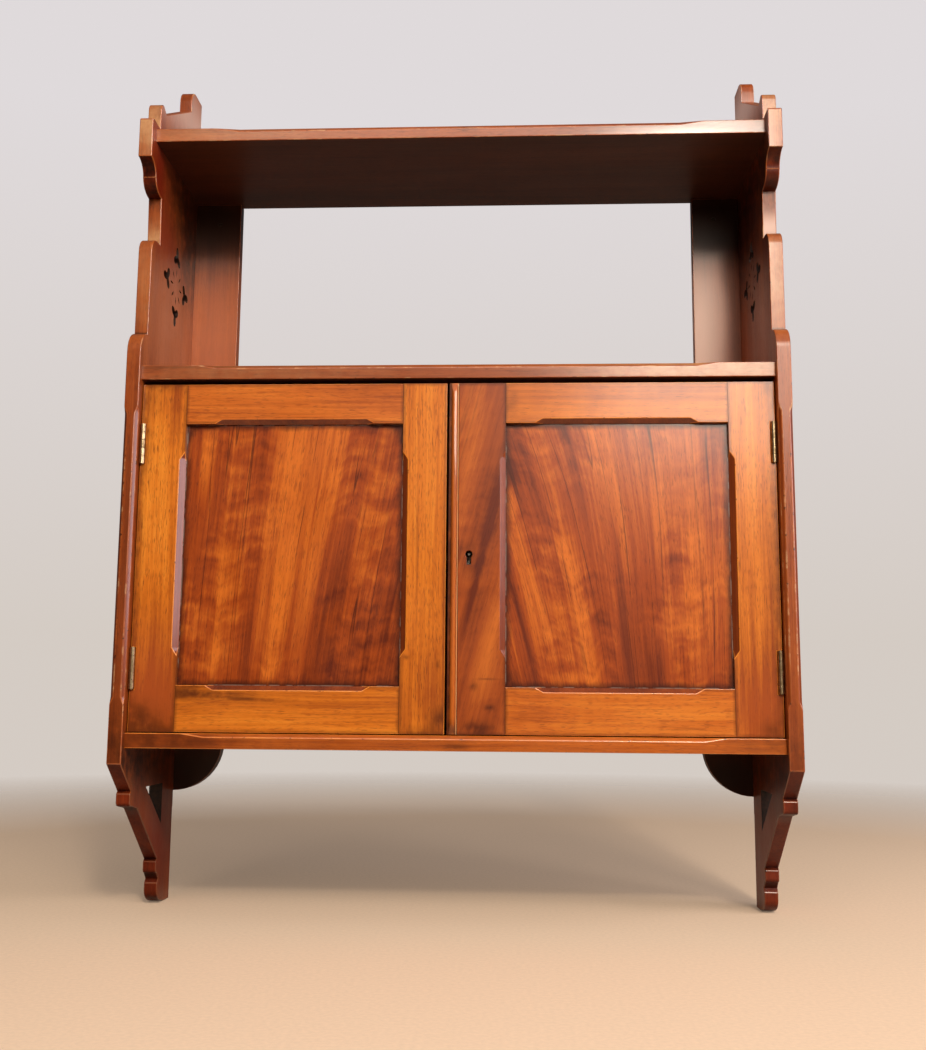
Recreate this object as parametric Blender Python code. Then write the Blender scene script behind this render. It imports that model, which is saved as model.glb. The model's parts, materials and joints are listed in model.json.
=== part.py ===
"""Hanging wall cabinet: shaped, pierced sides, three housed boards, an open shelf and a two-door cupboard.

Metres, +Z up. The wall is the plane y = 0, the front faces -Y, and z = 0 is the middle of the doors' height.
"""
import math

import bmesh
import bpy
from mathutils import Matrix, Vector

# Carcass
WIDTH = 0.650
DEPTH = 0.188
SIDE_THICK = 0.014
BOARD_THICK = 0.0145
TOP_THICK = 0.014
BACK_THICK = 0.013
CLEAR = 0.0003
HOUSING = 0.005
REBATE = 0.006
OPEN_HEIGHT = 0.241
TOP_SETBACK = 0.017
MIDDLE_SETBACK = 0.007
BOTTOM_SETBACK = 0.008

# Stop chamfers on the front edges of the boards and the sides
TOP_CHAMFER = 0.004
TOP_CHAMFER_INSET = 0.058
TOP_CHAMFER_STOP = 0.028
BOARD_CHAMFER = 0.0035
BOARD_CHAMFER_INSET = 0.053
BOARD_CHAMFER_STOP = 0.022
SIDE_CHAMFER = 0.0032
SIDE_CHAMFER_INSET = 0.055
SIDE_CHAMFER_STOP = 0.008

# Front profile of a side: setbacks from its front edge, rises from the boards it carries
CAP_SETBACK = 0.004
CAP_DROP = 0.0215
CAP_HEIGHT = 0.0417
CAP_EASE = 0.0015
CAVETTO_RUN = 0.0175
CAVETTO_DROP = 0.0155
FILLET = 0.0006
OVOLO_RUN = 0.0205
OVOLO_DROP = 0.014
NECK_LEAN = 0.003
BLOCK_SETBACK = 0.0195
BLOCK_RISE = 0.1405
BLOCK_NOSE = 0.016
SHOULDER_RUN = 0.0195
SHOULDER_DROP = 0.023
SHOULDER_RISE = 0.0125
MAIN_DROP = 0.0145

# Raked top of a side: a small nose in front, a ramp, and a taller nose measured from the wall
CREST_SETBACK = 0.029
CREST_RISE = 0.0298
CREST_NOSE = 0.008
VALLEY_RUN = 0.018
VALLEY_DROP = 0.005
HORN_DEPTH = 0.0535
HORN_RISE = 0.073
HORN_NOSE = 0.016
HORN_FACE = 0.012

# Bracket foot of a side: stepped slants down to a small toe at the wall
SLANT_RUN = 0.0345
SLANT_DROP = 0.0275
STEP_EASE = 0.0025
STEP_HEIGHT = 0.0155
STEP_NOSE = 0.004
STEP_LEDGE = 0.020
STEP_FALL = 0.0035
TOE_STEP_DEPTH = 0.063
LEG_DROP = 0.103
QUIRK_RUN = 0.010
QUIRK_FALL = 0.003
QUIRK_RISE = 0.004
TOE_DEPTH = 0.056
TOE_FACE = 0.0075
TOE_CURVE = 0.027
TOE_DROP = 0.014
HEEL = 0.009

# Piercings of a side
PIERCE_STRUT = 0.0525
PIERCE_DROP = 0.041
PIERCE_WIDTH = 0.0555
PIERCE_HEIGHT = 0.0415
FRET_SETBACK = 0.1055
FRET_RISE = 0.1165
FRET_REACH = 0.032
TREFOIL_RADIUS = 0.0086
TREFOIL_LOBE = 0.5
PETAL_START = 0.0105
PETAL_LENGTH = 0.0105
PETAL_WIDTH = 0.0026

# Back
STILE_SHOWING = 0.0515
TONGUE_LENGTH = 0.005
TONGUE_THICK = 0.004
SCREW_RADIUS = 0.0024
SCREW_INSET = 0.0275
SCREW_DROP = 0.025
SCREW_RISE = 0.055

# Inner shelf, its bearers and the door stops
INNER_SHELF_THICK = 0.010
INNER_SHELF_SETBACK = 0.022
BEARER_HEIGHT = 0.012
BEARER_WIDTH = 0.010
STOP_LENGTH = 0.030
STOP_HEIGHT = 0.012
STOP_DEPTH = 0.010
STOP_PLACE = 0.095

# Doors
DOOR_HEIGHT = 0.340
DOOR_THICK = 0.018
DOOR_SETBACK = 0.011
DOOR_GAP_TOP = 0.0045
DOOR_GAP_BOTTOM = 0.001
DOOR_GAP_SIDE = 0.001
MEETING_GAP = 0.0024
HINGE_STILE = 0.0446
MEETING_STILE = 0.043
LOCK_STILE = 0.055
TOP_RAIL = 0.040
BOTTOM_RAIL = 0.0443
PANEL_THICK = 0.006
PANEL_SETBACK = 0.006
GROOVE = 0.006
TENON_LENGTH = 0.026
TENON_SHOULDER = 0.008
TENON_HAUNCH = 0.002
FRAME_CHAMFER = 0.0046
STILE_CHAMFER = 0.0054
FRAME_CHAMFER_INSET = 0.028
FRAME_CHAMFER_STOP = 0.008
BEAD_WIDTH = 0.0095
BEAD_DEPTH = 0.006
BEAD_PROUD = 0.0032
BEAD_STOP = 0.009

# Hinges
HINGE_HEIGHT = 0.040
HINGE_INSET = 0.060
KNUCKLES = 5
KNUCKLE_RADIUS = 0.0027
PIN_RADIUS = 0.00105
PIN_PROUD = 0.0012
LEAF_THICK = 0.0012
LEAF_WIDTH = 0.014
LEAF_GAP = 0.0004

# Lock
LOCK_LENGTH = 0.038
LOCK_HEIGHT = 0.038
LOCK_THICK = 0.010
LOCK_WALL = 0.0022
BACKSET = 0.0198
KEYHOLE_RADIUS = 0.0035
KEYHOLE_SLOT = 0.0042
KEYHOLE_DROP = 0.010
KEYHOLE_RISE = 0.001
DRILL_PIN_RADIUS = 0.0011
DRILL_PIN_SETBACK = 0.003
CHAMBER = 0.018
BOLT_LENGTH = 0.0125
BOLT_HEIGHT = 0.012
BOLT_TRAVEL = 0.008
STRIKE_THICK = 0.0012
STRIKE_HEIGHT = 0.032
STRIKE_WIDTH = 0.008

# Door bolts
SHOOT_WIDTH = 0.005
SHOOT_THICK = 0.0036
SHOOT_LENGTH = 0.052
SHOOT_PLATE_WIDTH = 0.012
SHOOT_PLATE_THICK = 0.0014
SHOOT_PLATE_LENGTH = 0.046
SHOOT_PLATE_INSET = 0.004
SHOOT_LOOP_WALL = 0.0016
SHOOT_LOOP_LENGTH = 0.006
SHOOT_END_INSET = 0.001
SHOOT_KNOB_RADIUS = 0.0022
SHOOT_KNOB_HEIGHT = 0.0045
SHOOT_SOCKET = 0.0075

# Levels and planes that the pieces share
FRONT = -DEPTH
INNER_X = WIDTH / 2 - SIDE_THICK
DOOR_TOP = DOOR_HEIGHT / 2
DOOR_BOTTOM = -DOOR_HEIGHT / 2
BOTTOM_TOP = DOOR_BOTTOM - DOOR_GAP_BOTTOM
BOTTOM_UNDER = BOTTOM_TOP - BOARD_THICK
MIDDLE_UNDER = DOOR_TOP + DOOR_GAP_TOP
MIDDLE_TOP = MIDDLE_UNDER + BOARD_THICK
TOP_UNDER = MIDDLE_TOP + OPEN_HEIGHT
TOP_TOP = TOP_UNDER + TOP_THICK
BACK_FRONT = -BACK_THICK
BACK_INNER_X = INNER_X - STILE_SHOWING
DOOR_FRONT = FRONT + DOOR_SETBACK
DOOR_BACK = DOOR_FRONT + DOOR_THICK
DOOR_EDGE = INNER_X - DOOR_GAP_SIDE
RIGHT_DOOR_LEFT = -BEAD_WIDTH / 2
LEFT_DOOR_RIGHT = RIGHT_DOOR_LEFT - MEETING_GAP
PIN_X = INNER_X - CLEAR - KNUCKLE_RADIUS
PIN_Y = DOOR_FRONT - PIN_PROUD
ROUND_STEPS = 6
CYLINDER_SIDES = 16


def clear_scene():
    for old in list(bpy.data.objects):
        bpy.data.objects.remove(old, do_unlink=True)
    for old in list(bpy.data.collections):
        bpy.data.collections.remove(old)


def new_collection(name):
    group = bpy.data.collections.new(name)
    bpy.context.scene.collection.children.link(group)
    return group


clear_scene()
PARTS = new_collection("wall_cabinet")
CUTTERS = new_collection("wall_cabinet_cutters")


def finish(name, colour, roughness, metallic=0.0):
    material = bpy.data.materials.new(name)
    material.use_nodes = True
    shader = material.node_tree.nodes["Principled BSDF"]
    shader.inputs["Base Color"].default_value = (*colour, 1.0)
    shader.inputs["Roughness"].default_value = roughness
    shader.inputs["Metallic"].default_value = metallic
    material.diffuse_color = (*colour, 1.0)
    return material


SIDE_WOOD = finish("red mahogany", (0.19, 0.045, 0.018), 0.28)
SHELF_WOOD = finish("dark mahogany", (0.16, 0.040, 0.017), 0.30)
FRAME_WOOD = finish("golden mahogany", (0.40, 0.135, 0.030), 0.28)
PANEL_WOOD = finish("flame mahogany", (0.27, 0.062, 0.017), 0.24)
BACK_WOOD = finish("plain back boards", (0.21, 0.080, 0.035), 0.55)
BRASS = finish("dull brass", (0.50, 0.34, 0.13), 0.38, 1.0)
IRON = finish("lock iron", (0.22, 0.20, 0.18), 0.45, 1.0)


def place(name, mesh, material=None, where=(0.0, 0.0, 0.0), holder=None):
    """Put a mesh in the model; with no material it is a cutter."""
    piece = bpy.data.objects.new(name, mesh)
    piece.location = where
    if material is None:
        piece.hide_render = True
        piece.display_type = "WIRE"
        CUTTERS.objects.link(piece)
        return piece
    mesh.materials.append(material)
    PARTS.objects.link(piece)
    if holder is not None:
        piece.parent = holder
        piece.matrix_parent_inverse = Matrix.Translation(holder.location).inverted()
    return piece


def axis_empty(name, where):
    """An empty on a joint's axis, which carries the pieces that move together."""
    empty = bpy.data.objects.new(name, None)
    empty.location = where
    PARTS.objects.link(empty)
    return empty


def mesh_from(name, geometry):
    bmesh.ops.recalc_face_normals(geometry, faces=geometry.faces)
    mesh = bpy.data.meshes.new(name)
    geometry.to_mesh(mesh)
    geometry.free()
    return mesh


def blocks(name, spans, material=None, holder=None):
    """One object of plain boxes, each given by two opposite corners; the first one's middle is its origin."""
    origin = (Vector(spans[0][0]) + Vector(spans[0][1])) / 2
    geometry = bmesh.new()
    for corner, opposite in spans:
        size = [abs(a - b) for a, b in zip(corner, opposite)]
        middle = (Vector(corner) + Vector(opposite)) / 2 - origin
        matrix = Matrix.Translation(middle) @ Matrix.Diagonal((*size, 1.0))
        bmesh.ops.create_cube(geometry, size=1.0, matrix=matrix)
    return place(name, mesh_from(name, geometry), material, origin, holder)


def block(name, corner, opposite, material=None, holder=None):
    return blocks(name, [(corner, opposite)], material, holder)


def rods(name, spans, radius, axis, material=None, holder=None):
    """One object of round rods along X, Y or Z, each given by its middle and its length."""
    quarter = math.pi / 2
    turns = {"X": Matrix.Rotation(quarter, 4, "Y"), "Y": Matrix.Rotation(quarter, 4, "X"), "Z": Matrix()}
    flat = Matrix.Rotation(math.pi / CYLINDER_SIDES, 4, "Z")
    origin = Vector(spans[0][0])
    geometry = bmesh.new()
    for middle, length in spans:
        bmesh.ops.create_cone(
            geometry, cap_ends=True, segments=CYLINDER_SIDES, radius1=radius, radius2=radius, depth=length,
            matrix=Matrix.Translation(Vector(middle) - origin) @ turns[axis] @ flat)
    mesh = mesh_from(name, geometry)
    mesh.shade_smooth()
    mesh.set_sharp_from_angle(angle=math.radians(40))
    return place(name, mesh, material, origin, holder)


def plate(name, loops, low, high, facing, material=None, holder=None):
    """A flat outline, with holes, given a thickness from low to high along the axis that it faces."""
    turns = {
        "X": Matrix(((0, 0, 1, 0), (1, 0, 0, 0), (0, 1, 0, 0), (0, 0, 0, 1))),
        "Y": Matrix(((1, 0, 0, 0), (0, 0, -1, 0), (0, 1, 0, 0), (0, 0, 0, 1))),
        "Z": Matrix()}
    curve = bpy.data.curves.new(name, "CURVE")
    curve.dimensions = "2D"
    curve.fill_mode = "BOTH"
    curve.extrude = abs(high - low) / 2
    for loop in loops:
        spline = curve.splines.new("POLY")
        spline.points.add(len(loop) - 1)
        for point, (across, up) in zip(spline.points, loop):
            point.co = (across, up, 0.0, 1.0)
        spline.use_cyclic_u = True
    outline = bpy.data.objects.new(name, curve)
    CUTTERS.objects.link(outline)
    evaluated = outline.evaluated_get(bpy.context.evaluated_depsgraph_get())
    solid = bpy.data.meshes.new_from_object(evaluated)
    bpy.data.objects.remove(outline, do_unlink=True)
    geometry = bmesh.new()
    geometry.from_mesh(solid)
    bmesh.ops.remove_doubles(geometry, verts=geometry.verts, dist=0.00001)
    bmesh.ops.transform(geometry, matrix=turns[facing], verts=geometry.verts)
    bpy.data.meshes.remove(solid)
    middle = Vector({"X": (1, 0, 0), "Y": (0, 1, 0), "Z": (0, 0, 1)}[facing]) * (low + high) / 2
    return place(name, mesh_from(name, geometry), material, middle, holder)


def cut(piece, cutter, operation="DIFFERENCE"):
    boolean = piece.modifiers.new(cutter.name, "BOOLEAN")
    boolean.operation = operation
    boolean.solver = "EXACT"
    boolean.object = cutter


def stop_chamfer(piece, name, start, end, across_a, across_b, leg, stop):
    """Cut the arris from start to end to a chamfer that runs out to nothing over a stop at each end."""
    start, end = Vector(start), Vector(end)
    along = (end - start).normalized()
    face_a, face_b = Vector(across_a), Vector(across_b)
    beyond = (face_a - face_b) * leg
    outside = (face_a + face_b) * leg
    points = [start - outside, end - outside]
    for spot, depth in ((start, 0.0), (start + along * stop, leg), (end - along * stop, leg), (end, 0.0)):
        points.append(spot + face_a * depth + beyond)
        points.append(spot + face_b * depth - beyond)
    geometry = bmesh.new()
    for point in points:
        geometry.verts.new(point)
    bmesh.ops.convex_hull(geometry, input=geometry.verts)
    cut(piece, place(name, mesh_from(name, geometry)))


def arc(centre, radii, first, last, steps=ROUND_STEPS):
    """Points on an ellipse's arc between two angles in degrees, both ends included."""
    points = []
    for index in range(steps + 1):
        angle = math.radians(first + (last - first) * index / steps)
        points.append((centre[0] + radii[0] * math.cos(angle), centre[1] + radii[1] * math.sin(angle)))
    return points


def side_outline():
    """Outline of a side board as (y, z) points: over the top, down the front and along the foot."""
    cap_bottom = TOP_UNDER - CAP_DROP
    cap_top = cap_bottom + CAP_HEIGHT
    crest_top = cap_top + CREST_RISE
    horn_top = crest_top + HORN_RISE
    cap = FRONT + CAP_SETBACK
    crest = FRONT + CREST_SETBACK
    horn = -HORN_DEPTH
    horn_foot = horn_top - HORN_NOSE - HORN_FACE
    points = [(0.0, horn_top)]
    points += arc((horn + HORN_NOSE, horn_top - HORN_NOSE), (HORN_NOSE, HORN_NOSE), 90, 180)
    points += [(horn, horn_foot)]
    points += [(crest + VALLEY_RUN, crest_top - VALLEY_DROP)]
    points += arc((crest + CREST_NOSE, crest_top - CREST_NOSE), (CREST_NOSE, CREST_NOSE), 90, 180)
    points += [(crest, cap_top), (cap + CAP_EASE, cap_top), (cap, cap_top - CAP_EASE)]

    cavetto_end = cap_bottom - CAVETTO_DROP
    points += arc((cap, cavetto_end), (CAVETTO_RUN, CAVETTO_DROP), 90, 0)
    ovolo = cap + CAVETTO_RUN + FILLET
    neck = ovolo + OVOLO_RUN
    points += arc((neck, cavetto_end), (OVOLO_RUN, OVOLO_DROP), 180, 270)

    block_front = FRONT + BLOCK_SETBACK
    block_top = MIDDLE_TOP + BLOCK_RISE
    shoulder = MIDDLE_TOP + SHOULDER_RISE
    points += [(neck + NECK_LEAN, block_top)]
    points += arc((block_front + BLOCK_NOSE, block_top - BLOCK_NOSE), (BLOCK_NOSE, BLOCK_NOSE), 90, 180)
    points += [(block_front, shoulder + SHOULDER_DROP)]
    points += arc((FRONT + SHOULDER_RUN, shoulder), (SHOULDER_RUN, SHOULDER_DROP), 90, 180)

    main_bottom = BOTTOM_UNDER - MAIN_DROP
    step_top = main_bottom - SLANT_DROP
    points += [(FRONT, main_bottom), (FRONT + SLANT_RUN, step_top)]
    points += foot_step(FRONT + SLANT_RUN - STEP_EASE, step_top)
    leg = FRONT + SLANT_RUN - STEP_EASE + STEP_NOSE + STEP_LEDGE
    points += [(leg, step_top - STEP_EASE - STEP_HEIGHT)]

    toe_step = main_bottom - LEG_DROP
    points += [(-TOE_STEP_DEPTH + STEP_EASE, toe_step)]
    points += foot_step(-TOE_STEP_DEPTH, toe_step)
    quirk = toe_step - STEP_EASE - STEP_HEIGHT
    points += [(-TOE_STEP_DEPTH + QUIRK_RUN, quirk - QUIRK_FALL)]
    toe_top = quirk - QUIRK_FALL - QUIRK_RISE
    points += [(-TOE_DEPTH, toe_top)]
    points += arc((-TOE_DEPTH + TOE_CURVE, toe_top - TOE_FACE), (TOE_CURVE, TOE_DROP), 180, 270)
    sole = toe_top - TOE_FACE - TOE_DROP
    points += arc((-HEEL, sole + HEEL), (HEEL, HEEL), 270, 360)
    return points


def foot_step(front, top):
    """The small block below a slant: an eased top edge, a face and a rounded lower nose."""
    bottom = top - STEP_EASE - STEP_HEIGHT + STEP_FALL
    face = [(front, top - STEP_EASE)]
    return face + arc((front + STEP_NOSE, bottom + STEP_NOSE), (STEP_NOSE, STEP_NOSE), 180, 270)


def side_piercings():
    """Holes of a side board: the foot's triangle, and the fret of four trefoils and eight petals."""
    rear = -PIERCE_STRUT
    top = BOTTOM_UNDER - PIERCE_DROP
    holes = [[(rear, top), (rear - PIERCE_WIDTH, top), (rear, top - PIERCE_HEIGHT)]]
    middle = Vector((FRONT + FRET_SETBACK, MIDDLE_TOP + FRET_RISE))
    for quarter in range(4):
        bearing = quarter * math.pi / 2
        heart = middle + FRET_REACH * Vector((math.cos(bearing), math.sin(bearing)))
        trefoil = []
        for index in range(24):
            turn = index * math.tau / 24
            radius = TREFOIL_RADIUS * (1 + TREFOIL_LOBE * math.cos(3 * turn))
            trefoil.append(heart + radius * Vector((math.cos(bearing + turn), math.sin(bearing + turn))))
        holes.append([tuple(point) for point in trefoil])
    for eighth in range(8):
        bearing = eighth * math.pi / 4
        outward = Vector((math.cos(bearing), math.sin(bearing)))
        sideways = Vector((-outward.y, outward.x)) * PETAL_WIDTH / 2
        start = middle + outward * PETAL_START
        belly = start + outward * PETAL_LENGTH / 2
        petal = [start, belly + sideways, start + outward * PETAL_LENGTH, belly - sideways]
        holes.append([tuple(point) for point in petal])
    return holes


def make_side(name, sign):
    """A side board with its housings, the rebate for the back and the stop chamfers of its front edge."""
    inner, outer = sign * INNER_X, sign * WIDTH / 2
    side = plate(name, [side_outline()] + side_piercings(), inner, outer, "X", SIDE_WOOD)
    reach = 2 * (TOP_UNDER - BOTTOM_UNDER)
    inside = sign * (INNER_X - HOUSING)
    cut(side, block(name + "_rebate", (inside, BACK_FRONT - CLEAR, -reach),
                    (sign * (INNER_X + REBATE), BACK_THICK, reach)))
    for board, setback, low, high in (
            ("top", TOP_SETBACK, TOP_UNDER, TOP_TOP),
            ("middle", MIDDLE_SETBACK, MIDDLE_UNDER, MIDDLE_TOP),
            ("bottom", BOTTOM_SETBACK, BOTTOM_UNDER, BOTTOM_TOP)):
        housing = block(name + "_housing_" + board, (inside, FRONT + setback - CLEAR, low - CLEAR),
                        (sign * (INNER_X + HOUSING), BACK_THICK, high + CLEAR))
        cut(side, housing)
    top = MIDDLE_TOP + SHOULDER_RISE - SIDE_CHAMFER_INSET
    bottom = BOTTOM_UNDER - MAIN_DROP + SIDE_CHAMFER_INSET
    for edge, x, across in (("inner", inner, sign), ("outer", outer, -sign)):
        stop_chamfer(side, name + "_chamfer_" + edge, (x, FRONT, bottom), (x, FRONT, top),
                     (across, 0, 0), (0, 1, 0), SIDE_CHAMFER, SIDE_CHAMFER_STOP)


def make_board(name, setback, back, low, high, leg, inset, stop):
    """A board housed at both ends in the sides, its upper front arris stop-chamfered."""
    end = INNER_X + HOUSING - CLEAR
    board = block(name, (-end, FRONT + setback, low), (end, back, high), SHELF_WOOD)
    start = INNER_X - inset
    stop_chamfer(board, name + "_chamfer", (-start, FRONT + setback, high), (start, FRONT + setback, high),
                 (0, 1, 0), (0, 0, -1), leg, stop)
    return board


def shoot_middle():
    return LEFT_DOOR_RIGHT - MEETING_STILE / 2


def shoot_layers():
    """Planes of a door bolt from the door's back: plate front and back, bar front and back, loop back."""
    plate_front = DOOR_BACK + CLEAR
    plate_back = plate_front + SHOOT_PLATE_THICK
    bar_front = plate_back + CLEAR
    bar_back = bar_front + SHOOT_THICK
    return plate_front, plate_back, bar_front, bar_back, bar_back + CLEAR + SHOOT_LOOP_WALL


def socket(name, surface, into):
    """Cutter for the hole that a door bolt shoots into, from a board's surface."""
    bar_front, bar_back = shoot_layers()[2:4]
    half = SHOOT_WIDTH / 2 + CLEAR
    middle = shoot_middle()
    return block(name, (middle - half, bar_front - CLEAR, surface + into * SHOOT_SOCKET),
                 (middle + half, bar_back + CLEAR, surface - into * CLEAR))


def make_carcass():
    make_side("left_side", -1)
    make_side("right_side", 1)
    make_board("top_shelf", TOP_SETBACK, 0.0, TOP_UNDER, TOP_TOP,
               TOP_CHAMFER, TOP_CHAMFER_INSET, TOP_CHAMFER_STOP)
    middle = make_board("middle_shelf", MIDDLE_SETBACK, BACK_FRONT - CLEAR, MIDDLE_UNDER, MIDDLE_TOP,
                        BOARD_CHAMFER, BOARD_CHAMFER_INSET, BOARD_CHAMFER_STOP)
    cut(middle, socket("middle_shelf_socket", MIDDLE_UNDER, 1))
    bottom = make_board("bottom_board", BOTTOM_SETBACK, BACK_FRONT - CLEAR, BOTTOM_UNDER, BOTTOM_TOP,
                        BOARD_CHAMFER, BOARD_CHAMFER_INSET, BOARD_CHAMFER_STOP)
    cut(bottom, socket("bottom_board_socket", BOTTOM_TOP, -1))
    for name, sign in (("left", -1), ("right", 1)):
        make_back_stile(name + "_back_stile", sign)
        make_bearer(name + "_shelf_bearer", sign)
        make_stop(name + "_door_stop", sign)
    make_back_boards()
    block("inner_shelf", (-INNER_X + CLEAR, DOOR_BACK + INNER_SHELF_SETBACK, 0.0),
          (INNER_X - CLEAR, BACK_FRONT - CLEAR, INNER_SHELF_THICK), BACK_WOOD)


def make_back_stile(name, sign):
    """A back stile from the top shelf to a quarter-round end below the cupboard, with wall-screw holes."""
    outer = sign * (INNER_X + REBATE - CLEAR)
    inner = sign * BACK_INNER_X
    top = TOP_UNDER - CLEAR
    heel = BOTTOM_UNDER - STILE_SHOWING
    turn = (180, 270) if sign > 0 else (0, -90)
    radii = (STILE_SHOWING, STILE_SHOWING)
    rounded = arc((sign * INNER_X, BOTTOM_UNDER), radii, *turn, steps=2 * ROUND_STEPS)
    outline = [(outer, top), (inner, top)] + rounded + [(outer, heel)]
    stile = plate(name, [outline], BACK_FRONT, 0.0, "Y", BACK_WOOD)
    x = sign * (INNER_X - SCREW_INSET)
    levels = (TOP_UNDER - SCREW_DROP, DOOR_BOTTOM + SCREW_RISE)
    spots = [((x, BACK_FRONT / 2, z), 2 * BACK_THICK) for z in levels]
    cut(stile, rods(name + "_screw_holes", spots, SCREW_RADIUS, "Y"))


def make_back_boards():
    """Three boards between the stiles, tongued into each other, behind the shelf and the bottom."""
    names = ("back_board_left", "back_board_middle", "back_board_right")
    left = -BACK_INNER_X + CLEAR
    pitch = (2 * BACK_INNER_X - CLEAR) / len(names)
    tongue_low = BACK_FRONT / 2 - TONGUE_THICK / 2
    tongue_high = BACK_FRONT / 2 + TONGUE_THICK / 2
    for index, name in enumerate(names):
        start = left + index * pitch
        end = start + pitch - CLEAR
        first, last = index == 0, index == len(names) - 1
        outline = [(start, BACK_FRONT), (end, BACK_FRONT)]
        if not last:
            outline += [(end, tongue_low), (end + TONGUE_LENGTH, tongue_low),
                        (end + TONGUE_LENGTH, tongue_high), (end, tongue_high)]
        outline += [(end, 0.0), (start, 0.0)]
        if not first:
            root = start + TONGUE_LENGTH
            outline += [(start, tongue_high + CLEAR), (root, tongue_high + CLEAR),
                        (root, tongue_low - CLEAR), (start, tongue_low - CLEAR)]
        plate(name, [outline], BOTTOM_UNDER, MIDDLE_TOP, "Z", BACK_WOOD)


def make_bearer(name, sign):
    block(name, (sign * (INNER_X - CLEAR), DOOR_BACK + INNER_SHELF_SETBACK, -CLEAR),
          (sign * (INNER_X - BEARER_WIDTH), BACK_FRONT - CLEAR, -BEARER_HEIGHT), BACK_WOOD)


def make_stop(name, sign):
    half = STOP_LENGTH / 2
    block(name, (sign * STOP_PLACE - half, DOOR_BACK + CLEAR, MIDDLE_UNDER - CLEAR),
          (sign * STOP_PLACE + half, DOOR_BACK + STOP_DEPTH, MIDDLE_UNDER - STOP_HEIGHT), BACK_WOOD)


def panel_planes():
    return DOOR_FRONT + PANEL_SETBACK, DOOR_FRONT + PANEL_SETBACK + PANEL_THICK


def opening_levels():
    """Heights of the panel opening's lower and upper edges."""
    return DOOR_BOTTOM + BOTTOM_RAIL, DOOR_TOP - TOP_RAIL


def make_stile(name, outer, inner, holder):
    """A door stile with the panel's groove, two mortises and a stop chamfer on its inner front arris."""
    into = 1 if outer > inner else -1
    stile = block(name, (outer, DOOR_FRONT, DOOR_BOTTOM), (inner, DOOR_BACK, DOOR_TOP), FRAME_WOOD, holder)
    front, back = panel_planes()
    low, high = opening_levels()
    outside = inner - into * GROOVE
    channel = inner + into * GROOVE
    deep = inner + into * (TENON_LENGTH + CLEAR)
    spans = [((outside, front - CLEAR, low - GROOVE), (channel, back + CLEAR, high + GROOVE))]
    cut(stile, blocks(name + "_groove", spans))
    mortises = []
    for start, end in tenon_spans():
        mortises.append(((outside, front - CLEAR, start - CLEAR), (deep, back + CLEAR, end + CLEAR)))
    cut(stile, blocks(name + "_mortises", mortises))
    stop_chamfer(stile, name + "_chamfer", (inner, DOOR_FRONT, low + FRAME_CHAMFER_INSET),
                 (inner, DOOR_FRONT, high - FRAME_CHAMFER_INSET), (into, 0, 0), (0, 1, 0),
                 STILE_CHAMFER, FRAME_CHAMFER_STOP)
    return stile


def tenon_spans():
    """Heights of the tenons of the bottom rail and the top rail."""
    low, high = opening_levels()
    lower = (DOOR_BOTTOM + TENON_SHOULDER, low - GROOVE - TENON_HAUNCH)
    upper = (high + GROOVE + TENON_HAUNCH, DOOR_TOP - TENON_SHOULDER)
    return lower, upper


def make_rail(name, left, right, upper, holder):
    """A door rail with two tenons, the panel's groove and a stop chamfer on its inner front arris."""
    low, high = opening_levels()
    start, end = (high, DOOR_TOP) if upper else (DOOR_BOTTOM, low)
    edge, into = (high, 1) if upper else (low, -1)
    rail = block(name, (left + CLEAR, DOOR_FRONT, start), (right - CLEAR, DOOR_BACK, end),
                 FRAME_WOOD, holder)
    front, back = panel_planes()
    tenon_low, tenon_high = tenon_spans()[1 if upper else 0]
    tenon = block(name + "_tenon", (left - TENON_LENGTH, front, tenon_low),
                  (right + TENON_LENGTH, back, tenon_high))
    cut(rail, tenon, "UNION")
    groove = block(name + "_groove", (left - GROOVE, front - CLEAR, edge - into * GROOVE),
                   (right + GROOVE, back + CLEAR, edge + into * GROOVE))
    cut(rail, groove)
    stop_chamfer(rail, name + "_chamfer", (left + FRAME_CHAMFER_INSET, DOOR_FRONT, edge),
                 (right - FRAME_CHAMFER_INSET, DOOR_FRONT, edge), (0, 0, into), (0, 1, 0),
                 FRAME_CHAMFER, FRAME_CHAMFER_STOP)


def make_frame(side, left_stile, right_stile, holder):
    """The two rails and the panel of a door, between stiles whose inner edges are given."""
    make_rail(side + "_door_top_rail", left_stile, right_stile, True, holder)
    make_rail(side + "_door_bottom_rail", left_stile, right_stile, False, holder)
    front, back = panel_planes()
    low, high = opening_levels()
    margin = GROOVE - CLEAR
    block(side + "_door_panel", (left_stile - margin, front, low - margin),
          (right_stile + margin, back, high + margin), PANEL_WOOD, holder)


def hinge_middles():
    return (("upper", DOOR_TOP - HINGE_INSET), ("lower", DOOR_BOTTOM + HINGE_INSET))


def leaf_planes():
    """Distances from the middle of the cabinet to the faces of the side leaf and the door leaf."""
    side_outer = INNER_X - CLEAR
    side_inner = side_outer - LEAF_THICK
    door_outer = side_inner - LEAF_GAP
    return side_outer, side_inner, door_outer, door_outer - LEAF_THICK


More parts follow.
